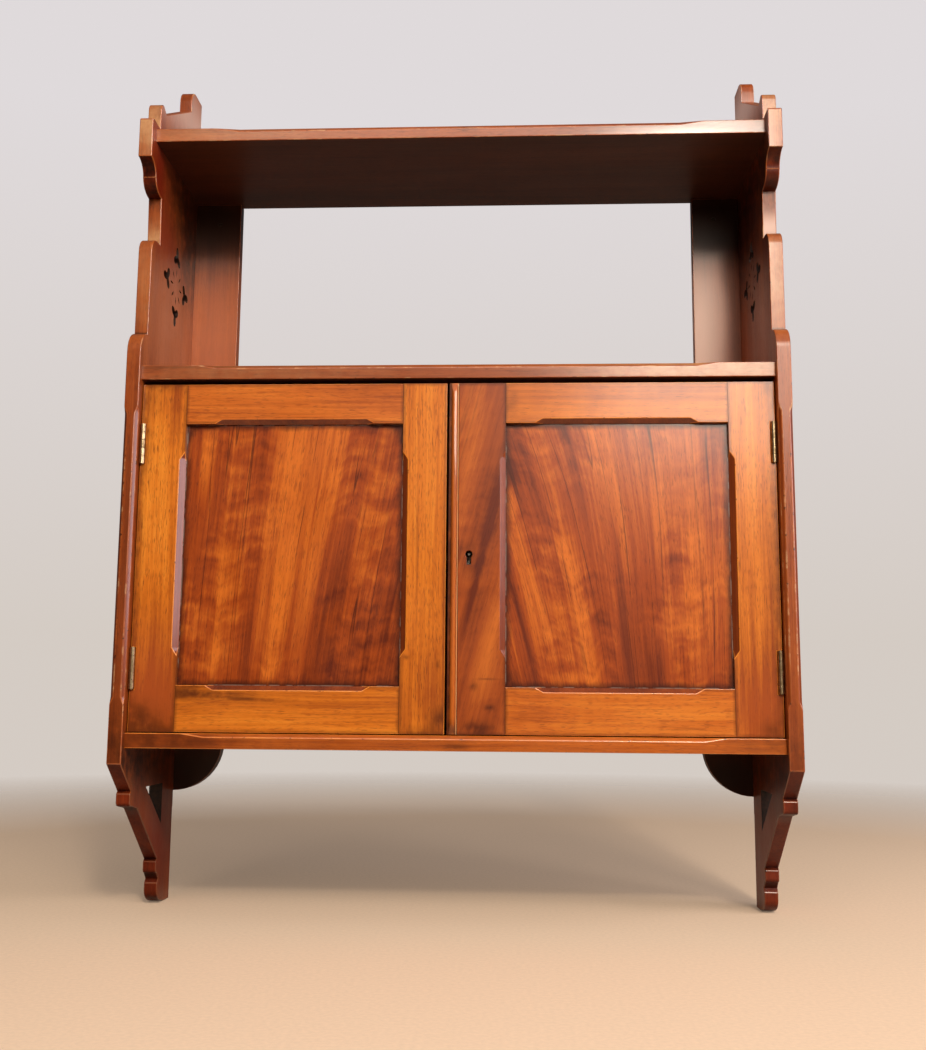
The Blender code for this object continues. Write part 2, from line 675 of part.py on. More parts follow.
def recess_hinges(stile, name, sign):
    """Let both leaves into the door's edge and the knuckles into its front corner, one stepped recess."""
    floor = leaf_planes()[3] - CLEAR
    leaf_back = PIN_Y + LEAF_WIDTH + CLEAR
    knuckle_inner = PIN_X - KNUCKLE_RADIUS - CLEAR
    knuckle_back = PIN_Y + KNUCKLE_RADIUS + CLEAR
    edge = DOOR_EDGE + DOOR_GAP_SIDE
    front = DOOR_FRONT - DOOR_GAP_SIDE
    corners = ((edge, front), (knuckle_inner, front), (knuckle_inner, knuckle_back),
               (floor, knuckle_back), (floor, leaf_back), (edge, leaf_back))
    outline = [(sign * x, y) for x, y in corners]
    half = HINGE_HEIGHT / 2 + CLEAR
    for level, z in hinge_middles():
        cut(stile, plate(name + "_" + level + "_hinge_recess", [outline], z - half, z + half, "Z"))


def make_hinge(name, sign, z, holder):
    """A butt hinge: a leaf with three knuckles on the side, one with two on the door, and the pin."""
    side_outer, side_inner, door_outer, door_inner = leaf_planes()
    pitch = HINGE_HEIGHT / KNUCKLES
    bottom = z - HINGE_HEIGHT / 2
    root = PIN_Y + KNUCKLE_RADIUS + CLEAR
    bore = [((sign * PIN_X, PIN_Y, z), 2 * HINGE_HEIGHT)]
    for leaf, outer, inner, first, start, carrier in (
            ("side_leaf", side_outer, side_inner, 0, PIN_Y + PIN_RADIUS / 2, None),
            ("door_leaf", door_outer, door_inner, 1, PIN_Y + PIN_RADIUS + 2 * CLEAR, holder)):
        title = name + "_" + leaf
        piece = block(title, (sign * outer, root, bottom),
                      (sign * inner, PIN_Y + LEAF_WIDTH, bottom + HINGE_HEIGHT), BRASS, carrier)
        barrels, tabs = [], []
        for index in range(first, KNUCKLES, 2):
            low = bottom + index * pitch + (CLEAR / 2 if index else 0.0)
            high = bottom + (index + 1) * pitch - (CLEAR / 2 if index < KNUCKLES - 1 else 0.0)
            barrels.append(((sign * PIN_X, PIN_Y, (low + high) / 2), high - low))
            tabs.append(((sign * outer, start, low), (sign * inner, root + LEAF_THICK, high)))
        cut(piece, blocks(title + "_tabs", tabs), "UNION")
        cut(piece, rods(title + "_barrels", barrels, KNUCKLE_RADIUS, "Z"), "UNION")
        cut(piece, rods(title + "_bore", bore, PIN_RADIUS + CLEAR, "Z"))
    rods(name + "_pin", [((sign * PIN_X, PIN_Y, z), HINGE_HEIGHT)], PIN_RADIUS, "Z", BRASS)


def lock_middle():
    return DOOR_BACK - LOCK_THICK / 2


def bolt_thick():
    return LOCK_THICK - 2 * LOCK_WALL - 2 * CLEAR


def keyhole_cutters(name, low, high):
    """Cutters for the keyhole's round and its slot, through the planes from low to high."""
    x = RIGHT_DOOR_LEFT + BACKSET
    middle = (low + high) / 2
    circle = rods(name + "_round", [((x, middle, KEYHOLE_RISE), high - low)], KEYHOLE_RADIUS, "Y")
    slot = block(name + "_slot", (x - KEYHOLE_SLOT / 2, low, KEYHOLE_RISE),
                 (x + KEYHOLE_SLOT / 2, high, KEYHOLE_RISE - KEYHOLE_DROP))
    return circle, slot


def make_lock(stile, holder):
    """A cut lock in the back of the lock stile: case with drill pin, and the bolt that shoots left."""
    left = RIGHT_DOOR_LEFT
    right = left + LOCK_LENGTH
    front = DOOR_BACK - LOCK_THICK
    half = LOCK_HEIGHT / 2
    spare = MEETING_GAP / 2
    cut(stile, block("lock_recess", (left - spare, front - CLEAR, -half - CLEAR),
                     (right + CLEAR, DOOR_BACK + spare, half + CLEAR)))
    for cutter in keyhole_cutters("stile_keyhole", DOOR_FRONT - spare, front):
        cut(stile, cutter)

    case = block("lock_case", (left, front, -half), (right, DOOR_BACK, half), IRON, holder)
    pocket_low = front + LOCK_WALL
    pocket_high = DOOR_BACK - LOCK_WALL
    bolt_half = BOLT_HEIGHT / 2
    pin_x = left + BACKSET
    chamber_left = left + CLEAR + BOLT_LENGTH - LOCK_WALL
    cut(case, block("lock_channel", (left - spare, pocket_low, -bolt_half - CLEAR),
                    (left + BOLT_LENGTH + CLEAR, pocket_high, bolt_half + CLEAR)))
    chamber_bottom = KEYHOLE_RISE - CHAMBER / 2 - KEYHOLE_DROP / 2
    cut(case, block("lock_chamber", (chamber_left, pocket_low, chamber_bottom),
                    (pin_x + CHAMBER / 2, pocket_high, KEYHOLE_RISE + CHAMBER / 2)))
    for cutter in keyhole_cutters("case_keyhole", front - spare, pocket_low + LOCK_WALL):
        cut(case, cutter)
    pin_front = DOOR_FRONT + DRILL_PIN_SETBACK
    pin_back = DOOR_BACK - LOCK_WALL / 2
    pin_middle = (pin_x, (pin_front + pin_back) / 2, KEYHOLE_RISE)
    pin = rods("lock_drill_pin", [(pin_middle, pin_back - pin_front)], DRILL_PIN_RADIUS, "Y")
    cut(case, pin, "UNION")

    thick = bolt_thick()
    middle = lock_middle()
    block("lock_bolt", (left + CLEAR, middle - thick / 2, -bolt_half),
          (left + BOLT_LENGTH, middle + thick / 2, bolt_half), BRASS, holder)


def make_strike(stile, holder):
    """The plate let into the left door's meeting edge, with the mortise that takes the lock's bolt."""
    edge = LEFT_DOOR_RIGHT
    middle = lock_middle()
    spare = MEETING_GAP / 2
    half = STRIKE_HEIGHT / 2
    bolt_half = BOLT_HEIGHT / 2 + CLEAR
    thick_half = bolt_thick() / 2 + CLEAR
    cut(stile, block("strike_recess", (edge + spare, middle - STRIKE_WIDTH / 2 - CLEAR, -half - CLEAR),
                     (edge - STRIKE_THICK - CLEAR, middle + STRIKE_WIDTH / 2 + CLEAR, half + CLEAR)))
    cut(stile, block("strike_mortise", (edge, middle - thick_half, -bolt_half),
                     (RIGHT_DOOR_LEFT - BOLT_TRAVEL - spare, middle + thick_half, bolt_half)))
    strike = block("lock_strike", (edge, middle - STRIKE_WIDTH / 2, -half),
                   (edge - STRIKE_THICK, middle + STRIKE_WIDTH / 2, half), BRASS, holder)
    cut(strike, block("strike_slot", (edge + spare, middle - thick_half, -bolt_half),
                      (edge - STRIKE_THICK - spare, middle + thick_half, bolt_half)))


def make_bead(stile, holder):
    """The half-round bead in a rebate along the lock stile's meeting edge, stopped at both ends."""
    left = RIGHT_DOOR_LEFT
    spare = MEETING_GAP / 2
    right = left + BEAD_WIDTH
    seat = DOOR_FRONT + BEAD_DEPTH
    cut(stile, block("bead_rebate", (left - spare, DOOR_FRONT - spare, DOOR_BOTTOM - spare),
                     (right, seat, DOOR_TOP + spare)))
    half = (BEAD_WIDTH - CLEAR) / 2
    crown = arc((left + half, DOOR_FRONT), (half, BEAD_PROUD), 180, 360, steps=2 * ROUND_STEPS)
    outline = crown + [(left + 2 * half, seat - CLEAR), (left, seat - CLEAR)]
    bead = plate("right_door_bead", [outline], DOOR_BOTTOM, DOOR_TOP, "Z", FRAME_WOOD, holder)
    for end, level, into in (("upper", DOOR_TOP, -1), ("lower", DOOR_BOTTOM, 1)):
        crest = DOOR_FRONT - BEAD_PROUD
        outer = crest - BEAD_PROUD
        slope = [(DOOR_FRONT, level - into * spare), (DOOR_FRONT, level), (crest, level + into * BEAD_STOP),
                 (outer, level + into * BEAD_STOP), (outer, level - into * spare)]
        cut(bead, plate("bead_stop_" + end, [slope], left - spare, right + spare, "X"))


def make_shoot_bolt(name, upper, holder):
    """A small bolt on the back of the meeting stile: a plate with two loops, and its sliding bar."""
    into = -1 if upper else 1
    level = DOOR_TOP if upper else DOOR_BOTTOM
    x = shoot_middle()
    plate_front, plate_back, bar_front, bar_back, loop_back = shoot_layers()
    start = level + into * SHOOT_PLATE_INSET
    end = start + into * SHOOT_PLATE_LENGTH
    wide = SHOOT_PLATE_WIDTH / 2
    half = SHOOT_WIDTH / 2
    body = block(name + "_plate", (x - wide, plate_front, start), (x + wide, plate_back, end),
                 BRASS, holder)
    loop_half = half + CLEAR + SHOOT_LOOP_WALL
    loops = []
    for place_in in (SHOOT_LOOP_LENGTH / 2, SHOOT_PLATE_LENGTH - 1.5 * SHOOT_LOOP_LENGTH):
        low = start + into * place_in
        loops.append(((x - loop_half, plate_back - CLEAR, low),
                      (x + loop_half, loop_back, low + into * SHOOT_LOOP_LENGTH)))
    cut(body, blocks(name + "_loops", loops), "UNION")
    slack = half + CLEAR
    cut(body, block(name + "_channel", (x - slack, plate_back - CLEAR / 2, level - into * SHOOT_LENGTH),
                    (x + slack, bar_back + CLEAR, level + into * 2 * SHOOT_LENGTH)))
    tip = level + into * SHOOT_END_INSET
    tail = tip + into * SHOOT_LENGTH
    bar = block(name, (x - half, bar_front, tip), (x + half, bar_back, tail), BRASS, holder)
    knob_z = (tip + tail) / 2
    knob_length = SHOOT_KNOB_HEIGHT + SHOOT_THICK / 2
    knob_y = bar_back - SHOOT_THICK / 2 + knob_length / 2
    knob = rods(name + "_knob", [((x, knob_y, knob_z), knob_length)], SHOOT_KNOB_RADIUS, "Y")
    cut(bar, knob, "UNION")


def make_left_door():
    axis = axis_empty("left_door_axis", (-PIN_X, PIN_Y, 0.0))
    hinge_inner = -DOOR_EDGE + HINGE_STILE
    meeting_inner = LEFT_DOOR_RIGHT - MEETING_STILE
    stile = make_stile("left_door_hinge_stile", -DOOR_EDGE, hinge_inner, axis)
    recess_hinges(stile, "left_door", -1)
    meeting = make_stile("left_door_meeting_stile", LEFT_DOOR_RIGHT, meeting_inner, axis)
    make_strike(meeting, axis)
    make_frame("left", hinge_inner, meeting_inner, axis)
    for level, z in hinge_middles():
        make_hinge("left_" + level + "_hinge", -1, z, axis)
        make_shoot_bolt("left_door_" + level + "_bolt", level == "upper", axis)


def make_right_door():
    axis = axis_empty("right_door_axis", (PIN_X, PIN_Y, 0.0))
    hinge_inner = DOOR_EDGE - HINGE_STILE
    lock_inner = RIGHT_DOOR_LEFT + LOCK_STILE
    stile = make_stile("right_door_hinge_stile", DOOR_EDGE, hinge_inner, axis)
    recess_hinges(stile, "right_door", 1)
    lock_stile = make_stile("right_door_lock_stile", RIGHT_DOOR_LEFT, lock_inner, axis)
    make_bead(lock_stile, axis)
    make_lock(lock_stile, axis)
    make_frame("right", lock_inner, hinge_inner, axis)
    for level, z in hinge_middles():
        make_hinge("right_" + level + "_hinge", 1, z, axis)


make_carcass()
make_left_door()
make_right_door()
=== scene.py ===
import json
import math

import bmesh
import bpy
import numpy as np
from mathutils import Matrix, Vector


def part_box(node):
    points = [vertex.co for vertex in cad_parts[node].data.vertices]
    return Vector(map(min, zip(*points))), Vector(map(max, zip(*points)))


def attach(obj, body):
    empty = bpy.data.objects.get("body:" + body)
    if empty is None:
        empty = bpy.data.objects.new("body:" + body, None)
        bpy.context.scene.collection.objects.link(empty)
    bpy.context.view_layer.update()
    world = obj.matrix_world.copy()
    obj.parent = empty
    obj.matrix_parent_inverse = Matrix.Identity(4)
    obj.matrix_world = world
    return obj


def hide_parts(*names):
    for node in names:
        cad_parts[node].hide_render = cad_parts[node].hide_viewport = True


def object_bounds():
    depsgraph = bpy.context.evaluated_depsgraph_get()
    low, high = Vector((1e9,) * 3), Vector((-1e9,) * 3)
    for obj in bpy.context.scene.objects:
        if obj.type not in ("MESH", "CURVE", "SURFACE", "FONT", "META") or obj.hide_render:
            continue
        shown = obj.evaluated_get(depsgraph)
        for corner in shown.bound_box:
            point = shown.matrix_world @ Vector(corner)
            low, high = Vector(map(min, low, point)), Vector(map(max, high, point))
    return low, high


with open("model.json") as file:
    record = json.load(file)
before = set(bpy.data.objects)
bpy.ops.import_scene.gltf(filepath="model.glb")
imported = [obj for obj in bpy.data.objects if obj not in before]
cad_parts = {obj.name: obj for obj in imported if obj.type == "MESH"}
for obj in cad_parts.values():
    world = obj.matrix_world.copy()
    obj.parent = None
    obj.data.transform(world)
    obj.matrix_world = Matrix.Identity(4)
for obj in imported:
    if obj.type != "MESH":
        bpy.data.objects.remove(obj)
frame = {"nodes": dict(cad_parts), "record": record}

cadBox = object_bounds()
record = frame["record"]
cadNodes = frame["nodes"]
bodyOf = {node: body for body, members in record["behaviour"]["bodies"].items() for node in members}
slotOf = {part["node"]: part["material_slot"] for part in record["subparts"]}
scene = bpy.context.scene
print("frame loaded:", len(cadNodes), "nodes")


# Shader helpers: each returns a socket that the next one can take
def newMaterial(name):
    material = bpy.data.materials.new(name)
    material.use_nodes = True
    tree = material.node_tree
    return material, tree, tree.nodes["Principled BSDF"]


def feed(tree, node, values):  # a socket among the values is linked, a number or a colour is set
    for key, value in values.items():
        if isinstance(value, bpy.types.NodeSocket):
            tree.links.new(value, node.inputs[key])
        else:
            node.inputs[key].default_value = value


def put(tree, kind, values, out=0, **settings):  # one node with its settings and its inputs
    node = tree.nodes.new(kind)
    for key, value in settings.items():
        setattr(node, key, value)
    feed(tree, node, values)
    return node.outputs[out]


def calc(tree, operation, first, second=0.0):
    return put(tree, "ShaderNodeMath", {0: first, 1: second}, operation=operation)


def plus(tree, first, second):
    return calc(tree, "ADD", first, second)


def minus(tree, first, second):
    return calc(tree, "SUBTRACT", first, second)


def times(tree, first, second):
    return calc(tree, "MULTIPLY", first, second)


def placeOnPiece(tree):
    return put(tree, "ShaderNodeTexCoord", {}, out="Object")


def axesOf(tree, vector):
    node = tree.nodes.new("ShaderNodeSeparateXYZ")
    tree.links.new(vector, node.inputs[0])
    return node.outputs


def span(tree, value, low, high, start=0.0, end=1.0):  # value from low..high to start..end, held at both ends
    return put(tree, "ShaderNodeMapRange", {0: value, 1: low, 2: high, 3: start, 4: end}, clamp=True)


def stretched(tree, vector, scale):
    return put(tree, "ShaderNodeVectorMath", {0: vector, 1: scale}, operation="MULTIPLY")


def cloud(tree, vector, scale, detail=2.0, rough=0.5, out=0):  # noise with one scale, or its own along each axis
    scales = scale if isinstance(scale, tuple) else (scale, scale, scale)
    values = {"Vector": stretched(tree, vector, scales), "Scale": 1.0, "Detail": detail, "Roughness": rough}
    return put(tree, "ShaderNodeTexNoise", values, out)


def blendColour(tree, amount, first, second):
    ends = [(*end, 1.0) if isinstance(end, tuple) else end for end in (first, second)]
    return put(tree, "ShaderNodeMix", {0: amount, 6: ends[0], 7: ends[1]}, out=2, data_type="RGBA")


def ramp(tree, value, stops):
    node = tree.nodes.new("ShaderNodeValToRGB")
    tree.links.new(value, node.inputs[0])
    points = node.color_ramp.elements
    while len(points) < len(stops):
        points.new(0.5)
    for point, (place, colour) in zip(points, stops):
        point.position = place
        point.color = (*colour, 1.0)
    return node.outputs[0]


# Wood
palettes = {
    "golden": ((0.35, 0.066, 0.004), (0.67, 0.174, 0.011), (0.85, 0.28, 0.026)),
    "amber": ((0.3, 0.054, 0.005), (0.57, 0.13, 0.012), (0.74, 0.215, 0.022)),
    "russet": ((0.14, 0.021, 0.005), (0.36, 0.068, 0.009), (0.6, 0.145, 0.017)),
    "flame": ((0.13, 0.017, 0.003), (0.37, 0.06, 0.006), (0.67, 0.158, 0.015)),
    "ruddy": ((0.12, 0.021, 0.004), (0.29, 0.055, 0.009), (0.45, 0.108, 0.019)),
    "chamfer": ((0.1, 0.016, 0.004), (0.21, 0.036, 0.006), (0.33, 0.066, 0.01)),
    # shade and foot are dark tones for painted shade on the undersides, the faces turned down and the feet
    "shade": ((0.05, 0.015, 0.007), (0.09, 0.026, 0.011), (0.13, 0.038, 0.015)),
    "foot": ((0.07, 0.009, 0.003), (0.17, 0.021, 0.005), (0.26, 0.038, 0.008)),
    "dull": ((0.12, 0.036, 0.013), (0.21, 0.066, 0.023), (0.29, 0.1, 0.037)),
}
# a pale tan for rubbed wear, also used for painted sheen and painted highlights
rubbedAndSheenWood = (0.62, 0.33, 0.15)
# the first is a near-black tint for painted shadow and painted shade
paintedShadow, deepRed, warmRed = (0.028, 0.01, 0.005), (0.21, 0.01, 0.002), (0.27, 0.026, 0.005)
# the last is a pale tint for painted sheen and painted highlights
ruddyBrown, rosy, paintedSheen = (0.45, 0.085, 0.02), (0.5, 0.155, 0.065), (0.66, 0.43, 0.35)
plainWood = {
    "palette": "ruddy", "grain": "z", "shift": (0.0, 0.0, 0.0), "lean": 0.0, "fan": 0.0, "wander": 0.004,
    "bands": (1.6, 34.0, 0.75), "mottle": (75.0, 26.0, 0.12), "streaks": (9.0, 480.0, 0.22), "contrast": 0.17,
    "lines": 0.25, "flecks": 0.3, "pores": 0.45, "blotches": (), "stains": (), "grime": None, "wax": 0.0,
    "worn": (), "tints": (), "marksAcross": "x", "rough": 0.38, "coat": 0.7, "coatRough": 0.19, "gloss": 0.2,
    "bump": 0.16,
}
figure = {  # a noise's scales run along the grain, through the board and across it; then its detail and what counts
    "drift": (5.0, 14.0, 14.0), "ribbonNoise": (5.0, 0.62), "ribbonStep": 0.045, "mottleNoise": (2.0, 0.55),
    "patch": ((9.0, 16.0, 16.0), 1.0, (0.4, 0.58)), "break": ((14.0, 40.0, 40.0), 2.0, (0.36, 0.56)),
    "fleck": ((85.0, 560.0, 560.0), 2.0, (0.56, 0.7)), "pore": ((120.0, 1500.0, 1500.0), 1.0, (0.6, 0.72)),
    "line": (1.3, 62.0, 62.0), "lineLevel": 0.52, "lineSpan": (0.001, 0.011, 1.0, 0.0), "soot": 0.3,
    "ragged": (70.0, 90.0, 90.0), "raggedNoise": (4.0, 0.6), "stainSpan": (0.3, 0.58, 0.25, 1.0),
    "wornSpan": (0.35, 0.62, 0.45, 1.0), "dirtSpan": (-0.35, 0.45), "waxSpan": (0.0004, 0.0012, 1.0, 0.0),
    "waxBreaks": (0.42, 0.56), "waxColour": (0.34, 0.25, 0.2), "smear": (14.0, 30.0, 30.0), "smearSpan": (0.3, 0.7),
    "smearRough": (-0.05, 0.07), "poreRough": 0.15, "wave": (10.0, 35.0, 35.0), "reliefDepth": 0.0006,
    "relief": {"streak": 0.25, "wave": 0.45, "pore": 0.5},
}


def grainVector(tree, look):  # (along the grain, through the board, across it); lean and fan slant the across axis
    x, y, z = axesOf(tree, placeOnPiece(tree))
    along, across = (z, x) if look["grain"] == "z" else (x, z)
    slant = plus(tree, times(tree, across, look["fan"]), look["lean"])
    across = plus(tree, across, times(tree, along, slant))
    vector = put(tree, "ShaderNodeCombineXYZ", {0: along, 1: y, 2: across})
    vector = put(tree, "ShaderNodeVectorMath", {0: vector, 1: look["shift"]}, operation="ADD")
    drift = cloud(tree, vector, figure["drift"], 1.0, out="Color")
    drift = put(tree, "ShaderNodeVectorMath", {0: drift, 1: (0.5, 0.5, 0.5)}, operation="SUBTRACT")
    drift = stretched(tree, drift, (0.0, look["wander"], 2 * look["wander"]))
    return put(tree, "ShaderNodeVectorMath", {0: vector, 1: drift}, operation="ADD"), (x, y, z)


def spot(tree, x, z, mark):
    # amount * exp(-u^2 - v^2), u and v measured from the mark's middle along its turned axes, over its half sizes
    middleX, middleZ, wide, high = (size / 1000 for size in mark[:4])
    turn = math.radians(mark[5] if len(mark) > 5 else 0)
    c, s = math.cos(turn), math.sin(turn)
    dx, dz = minus(tree, x, middleX), minus(tree, z, middleZ)
    u = plus(tree, times(tree, dx, c / wide), times(tree, dz, s / wide))
    v = plus(tree, times(tree, dx, -s / high), times(tree, dz, c / high))
    far = plus(tree, times(tree, u, u), times(tree, v, v))
    return times(tree, calc(tree, "EXPONENT", times(tree, far, -1.0)), mark[4])


def woodMaterial(name, changes):
    # tone = long ribbons + a cross mottle broken at the ribbons + fine streaks + broad blotches, through a
    # three-colour ramp; lines, flecks, pores, tints, staining, worn patches and darker edges are laid over it;
    # among these are real staining, wear and soiling, and also painted shadow, painted shade and painted sheen
    look = {**plainWood, **changes}
    material, tree, shader = newMaterial(name)
    grain, (x, y, z) = grainVector(tree, look)

    def layer(key):
        scales, detail, ends = figure[key]
        return span(tree, cloud(tree, grain, scales, detail), *ends)

    long, wide, ribbonWeight = look["bands"]
    ribbon = minus(tree, cloud(tree, grain, (long, wide, wide), *figure["ribbonNoise"]), 0.5)
    step = put(tree, "ShaderNodeCombineXYZ", {0: times(tree, ribbon, figure["ribbonStep"]), 1: 0.0, 2: 0.0})
    stepped = put(tree, "ShaderNodeVectorMath", {0: grain, 1: step}, operation="ADD")
    short, wide, mottleWeight = look["mottle"]
    mottle = minus(tree, cloud(tree, stepped, (short, wide, wide), *figure["mottleNoise"]), 0.5)
    mottle = times(tree, mottle, layer("patch"))
    long, wide, streakWeight = look["streaks"]
    streak = minus(tree, cloud(tree, grain, (long, wide, wide)), 0.5)
    tone = times(tree, ribbon, ribbonWeight)
    for field, weight in ((mottle, mottleWeight), (streak, streakWeight)):
        tone = plus(tree, tone, times(tree, field, weight))
    across = y if look["marksAcross"] == "y" else x
    for mark in look["blotches"]:
        tone = plus(tree, tone, spot(tree, across, z, mark))
    dark, middle, light = palettes[look["palette"]]
    soot = tuple(figure["soot"] * c for c in dark)
    colour = ramp(tree, span(tree, tone, -look["contrast"], look["contrast"]),
                  ((0.0, dark), (0.5, middle), (1.0, light)))
    offLine = calc(tree, "ABSOLUTE", minus(tree, cloud(tree, grain, figure["line"], 1.0), figure["lineLevel"]))
    lines = times(tree, span(tree, offLine, *figure["lineSpan"]), layer("break"))
    pores = layer("pore")
    for field, key, tint in ((lines, "lines", soot), (layer("fleck"), "flecks", dark), (pores, "pores", soot)):
        colour = blendColour(tree, times(tree, field, look[key]), colour, tint)
    ragged = cloud(tree, grain, figure["ragged"], *figure["raggedNoise"])
    # tints: some are the wood's own colour, some are painted shadow, painted shade and painted sheen
    for *mark, tint in look["tints"]:
        colour = blendColour(tree, spot(tree, across, z, mark), colour, tint)
    # staining and worn patches: mostly real, some are painted shade and painted sheen
    for key, border, tint in (("stains", "stainSpan", soot), ("worn", "wornSpan", rubbedAndSheenWood)):
        for mark in look[key]:
            patch = times(tree, spot(tree, across, z, mark), span(tree, ragged, *figure[border]))
            colour = blendColour(tree, patch, colour, tint)
    # darker edges: on a member soiling and dark joints, on a panel soiling and painted shade in its recess
    if look["grime"]:
        low, high, reach, amount = look["grime"]
        near = minus(tree, x, low[0])
        for edge in (minus(tree, high[0], x), minus(tree, z, low[1]), minus(tree, high[1], z)):
            near = calc(tree, "MINIMUM", near, edge)
        dirtEnds = [reach * end for end in figure["dirtSpan"]]
        dirtAndShade = span(tree, minus(tree, near, times(tree, ragged, reach)), *dirtEnds, amount, 0.0)
        colour = blendColour(tree, dirtAndShade, colour, soot)
        rim = times(tree, span(tree, near, *figure["waxSpan"]), span(tree, ragged, *figure["waxBreaks"]))
        colour = blendColour(tree, times(tree, rim, look["wax"]), colour, figure["waxColour"])
    roughEnds = [look["rough"] + change for change in figure["smearRough"]]
    smear = span(tree, cloud(tree, grain, figure["smear"], 3.0), *figure["smearSpan"], *roughEnds)
    relief = figure["relief"]
    wave = times(tree, cloud(tree, grain, figure["wave"]), relief["wave"])
    height = plus(tree, times(tree, streak, relief["streak"]), wave)
    height = minus(tree, height, times(tree, pores, relief["pore"]))
    bump = {"Strength": look["bump"], "Distance": figure["reliefDepth"], "Height": height}
    feed(tree, shader, {
        "Base Color": colour, "Roughness": plus(tree, smear, times(tree, pores, figure["poreRough"])),
        "Normal": put(tree, "ShaderNodeBump", bump), "Coat Weight": look["coat"],
        "Coat Roughness": look["coatRough"], "Specular IOR Level": look["gloss"]})
    return material


arrisLook = {"rubbed": {"ruddy": (0.54, 0.66), "amber": (0.62, 0.74), "golden": (0.62, 0.74)}, "rubScale": 55.0,
             "rubNoise": (4.0, 0.65), "tone": 40.0, "toneSpan": (0.35, 0.65), "handled": (-0.24, -0.12, 0.12, 0.7),
             "footShade": (-0.24, -0.18, 0.7, 0.0), "nick": 210.0, "nickSpan": (0.62, 0.72), "nickSoot": 0.4,
             "rough": (0.34, 0.54), "coat": 0.7, "coatRough": 0.22}


def arrisMaterial(palette):  # the wood's own tones, rubbed pale in patches, which is wear and a painted highlight along the arrises, dark at the feet and in nicks
    look = arrisLook
    material, tree, shader = newMaterial("worn_arris_" + palette)
    where = placeOnPiece(tree)
    dark, middle, light = palettes[palette]
    colour = blendColour(tree, span(tree, cloud(tree, where, look["tone"], 3.0), *look["toneSpan"]), middle, light)
    rubbed = span(tree, cloud(tree, where, look["rubScale"], *look["rubNoise"]), *look["rubbed"][palette])
    height = axesOf(tree, where)[2]
    handled = span(tree, height, *look["handled"])
    colour = blendColour(tree, times(tree, rubbed, handled), colour, rubbedAndSheenWood)
    colour = blendColour(tree, span(tree, height, *look["footShade"]), colour, dark)
    nicked = span(tree, cloud(tree, where, look["nick"], 3.0), *look["nickSpan"])
    colour = blendColour(tree, nicked, colour, tuple(look["nickSoot"] * c for c in dark))
    feed(tree, shader, {"Base Color": colour, "Roughness": span(tree, rubbed, 0.0, 1.0, *look["rough"]),
                        "Coat Weight": look["coat"], "Coat Roughness": look["coatRough"]})
    return material


# darkening along edges: on the members soiling and dark joints, round a panel's opening and in its corners soiling
# and painted shade
edgeDirtAndShade = {"member": (0.0035, 0.55), "panel": (0.007, 0.85), "corner": (12, 13, 0.85)}
memberNames = {"left": ("left_door_hinge_stile", "left_door_meeting_stile"),
               "right": ("right_door_lock_stile", "right_door_hinge_stile")}


def openingOf(side):  # (x, z) corners of a panel's opening, from the boxes of the members round it
    left, right = memberNames[side]
    low = (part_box(left)[1].x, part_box(side + "_door_bottom_rail")[1].z)
    high = (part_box(right)[0].x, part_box(side + "_door_top_rail")[0].z)
    return low, high


def memberGrime(node):  # a stile is dirty round its own box, a rail only between the stiles
    low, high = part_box(node)
    ends = (low.x, high.x)
    if node.endswith("rail"):
        ends = tuple(corner[0] for corner in openingOf(node.split("_")[0]))
    return (ends[0], low.z), (ends[1], high.z), *edgeDirtAndShade["member"]


# the opening's corners are darkened: soiling and painted shade
def cornerDirtAndShade(side):
    (left, low), (right, top) = openingOf(side)
    return tuple((1000 * x, 1000 * z, *edgeDirtAndShade["corner"]) for x in (left, right) for z in (low, top))


hollows = {  # heights on the front edge, reach and amount of painted shade in the hollows, creases and under the overhangs; the faces turned down and the feet have their own
    "edge": ((329.7, 1.8, 0.8), (224.7, 1.8, 0.8)),
    "neck": ((329.7, 1.8, 0.8), (377, 10, 1.0)),
    "shade": ((400.5, 10.5, 1.0), (383.5, 9, 0.9), (-227.2, 2.4, 1.0), (-244.5, 4, 1.0),
              (-303, 3.2, 1.0), (-320.5, 5.5, 1.0)),
}


sideEdge = {"middle": 318, "across": 50}


def edgeMark(sign, height, reach, amount):  # a mark across the front edge of the left (-1) or right (1) side
    return sign * sideEdge["middle"], height, sideEdge["across"], reach, amount


def edgeMarks(sign, zone, weight):
    return tuple(edgeMark(sign, height, reach, weight * amount) for height, reach, amount in hollows[zone])


panelWood = {"palette": "flame", "mottle": (80.0, 34.0, 0.42), "bands": (1.3, 34.0, 0.8), "lines": 0.75,
             "streaks": (9.0, 420.0, 0.24), "contrast": 0.18, "rough": 0.36, "wax": 0.55}

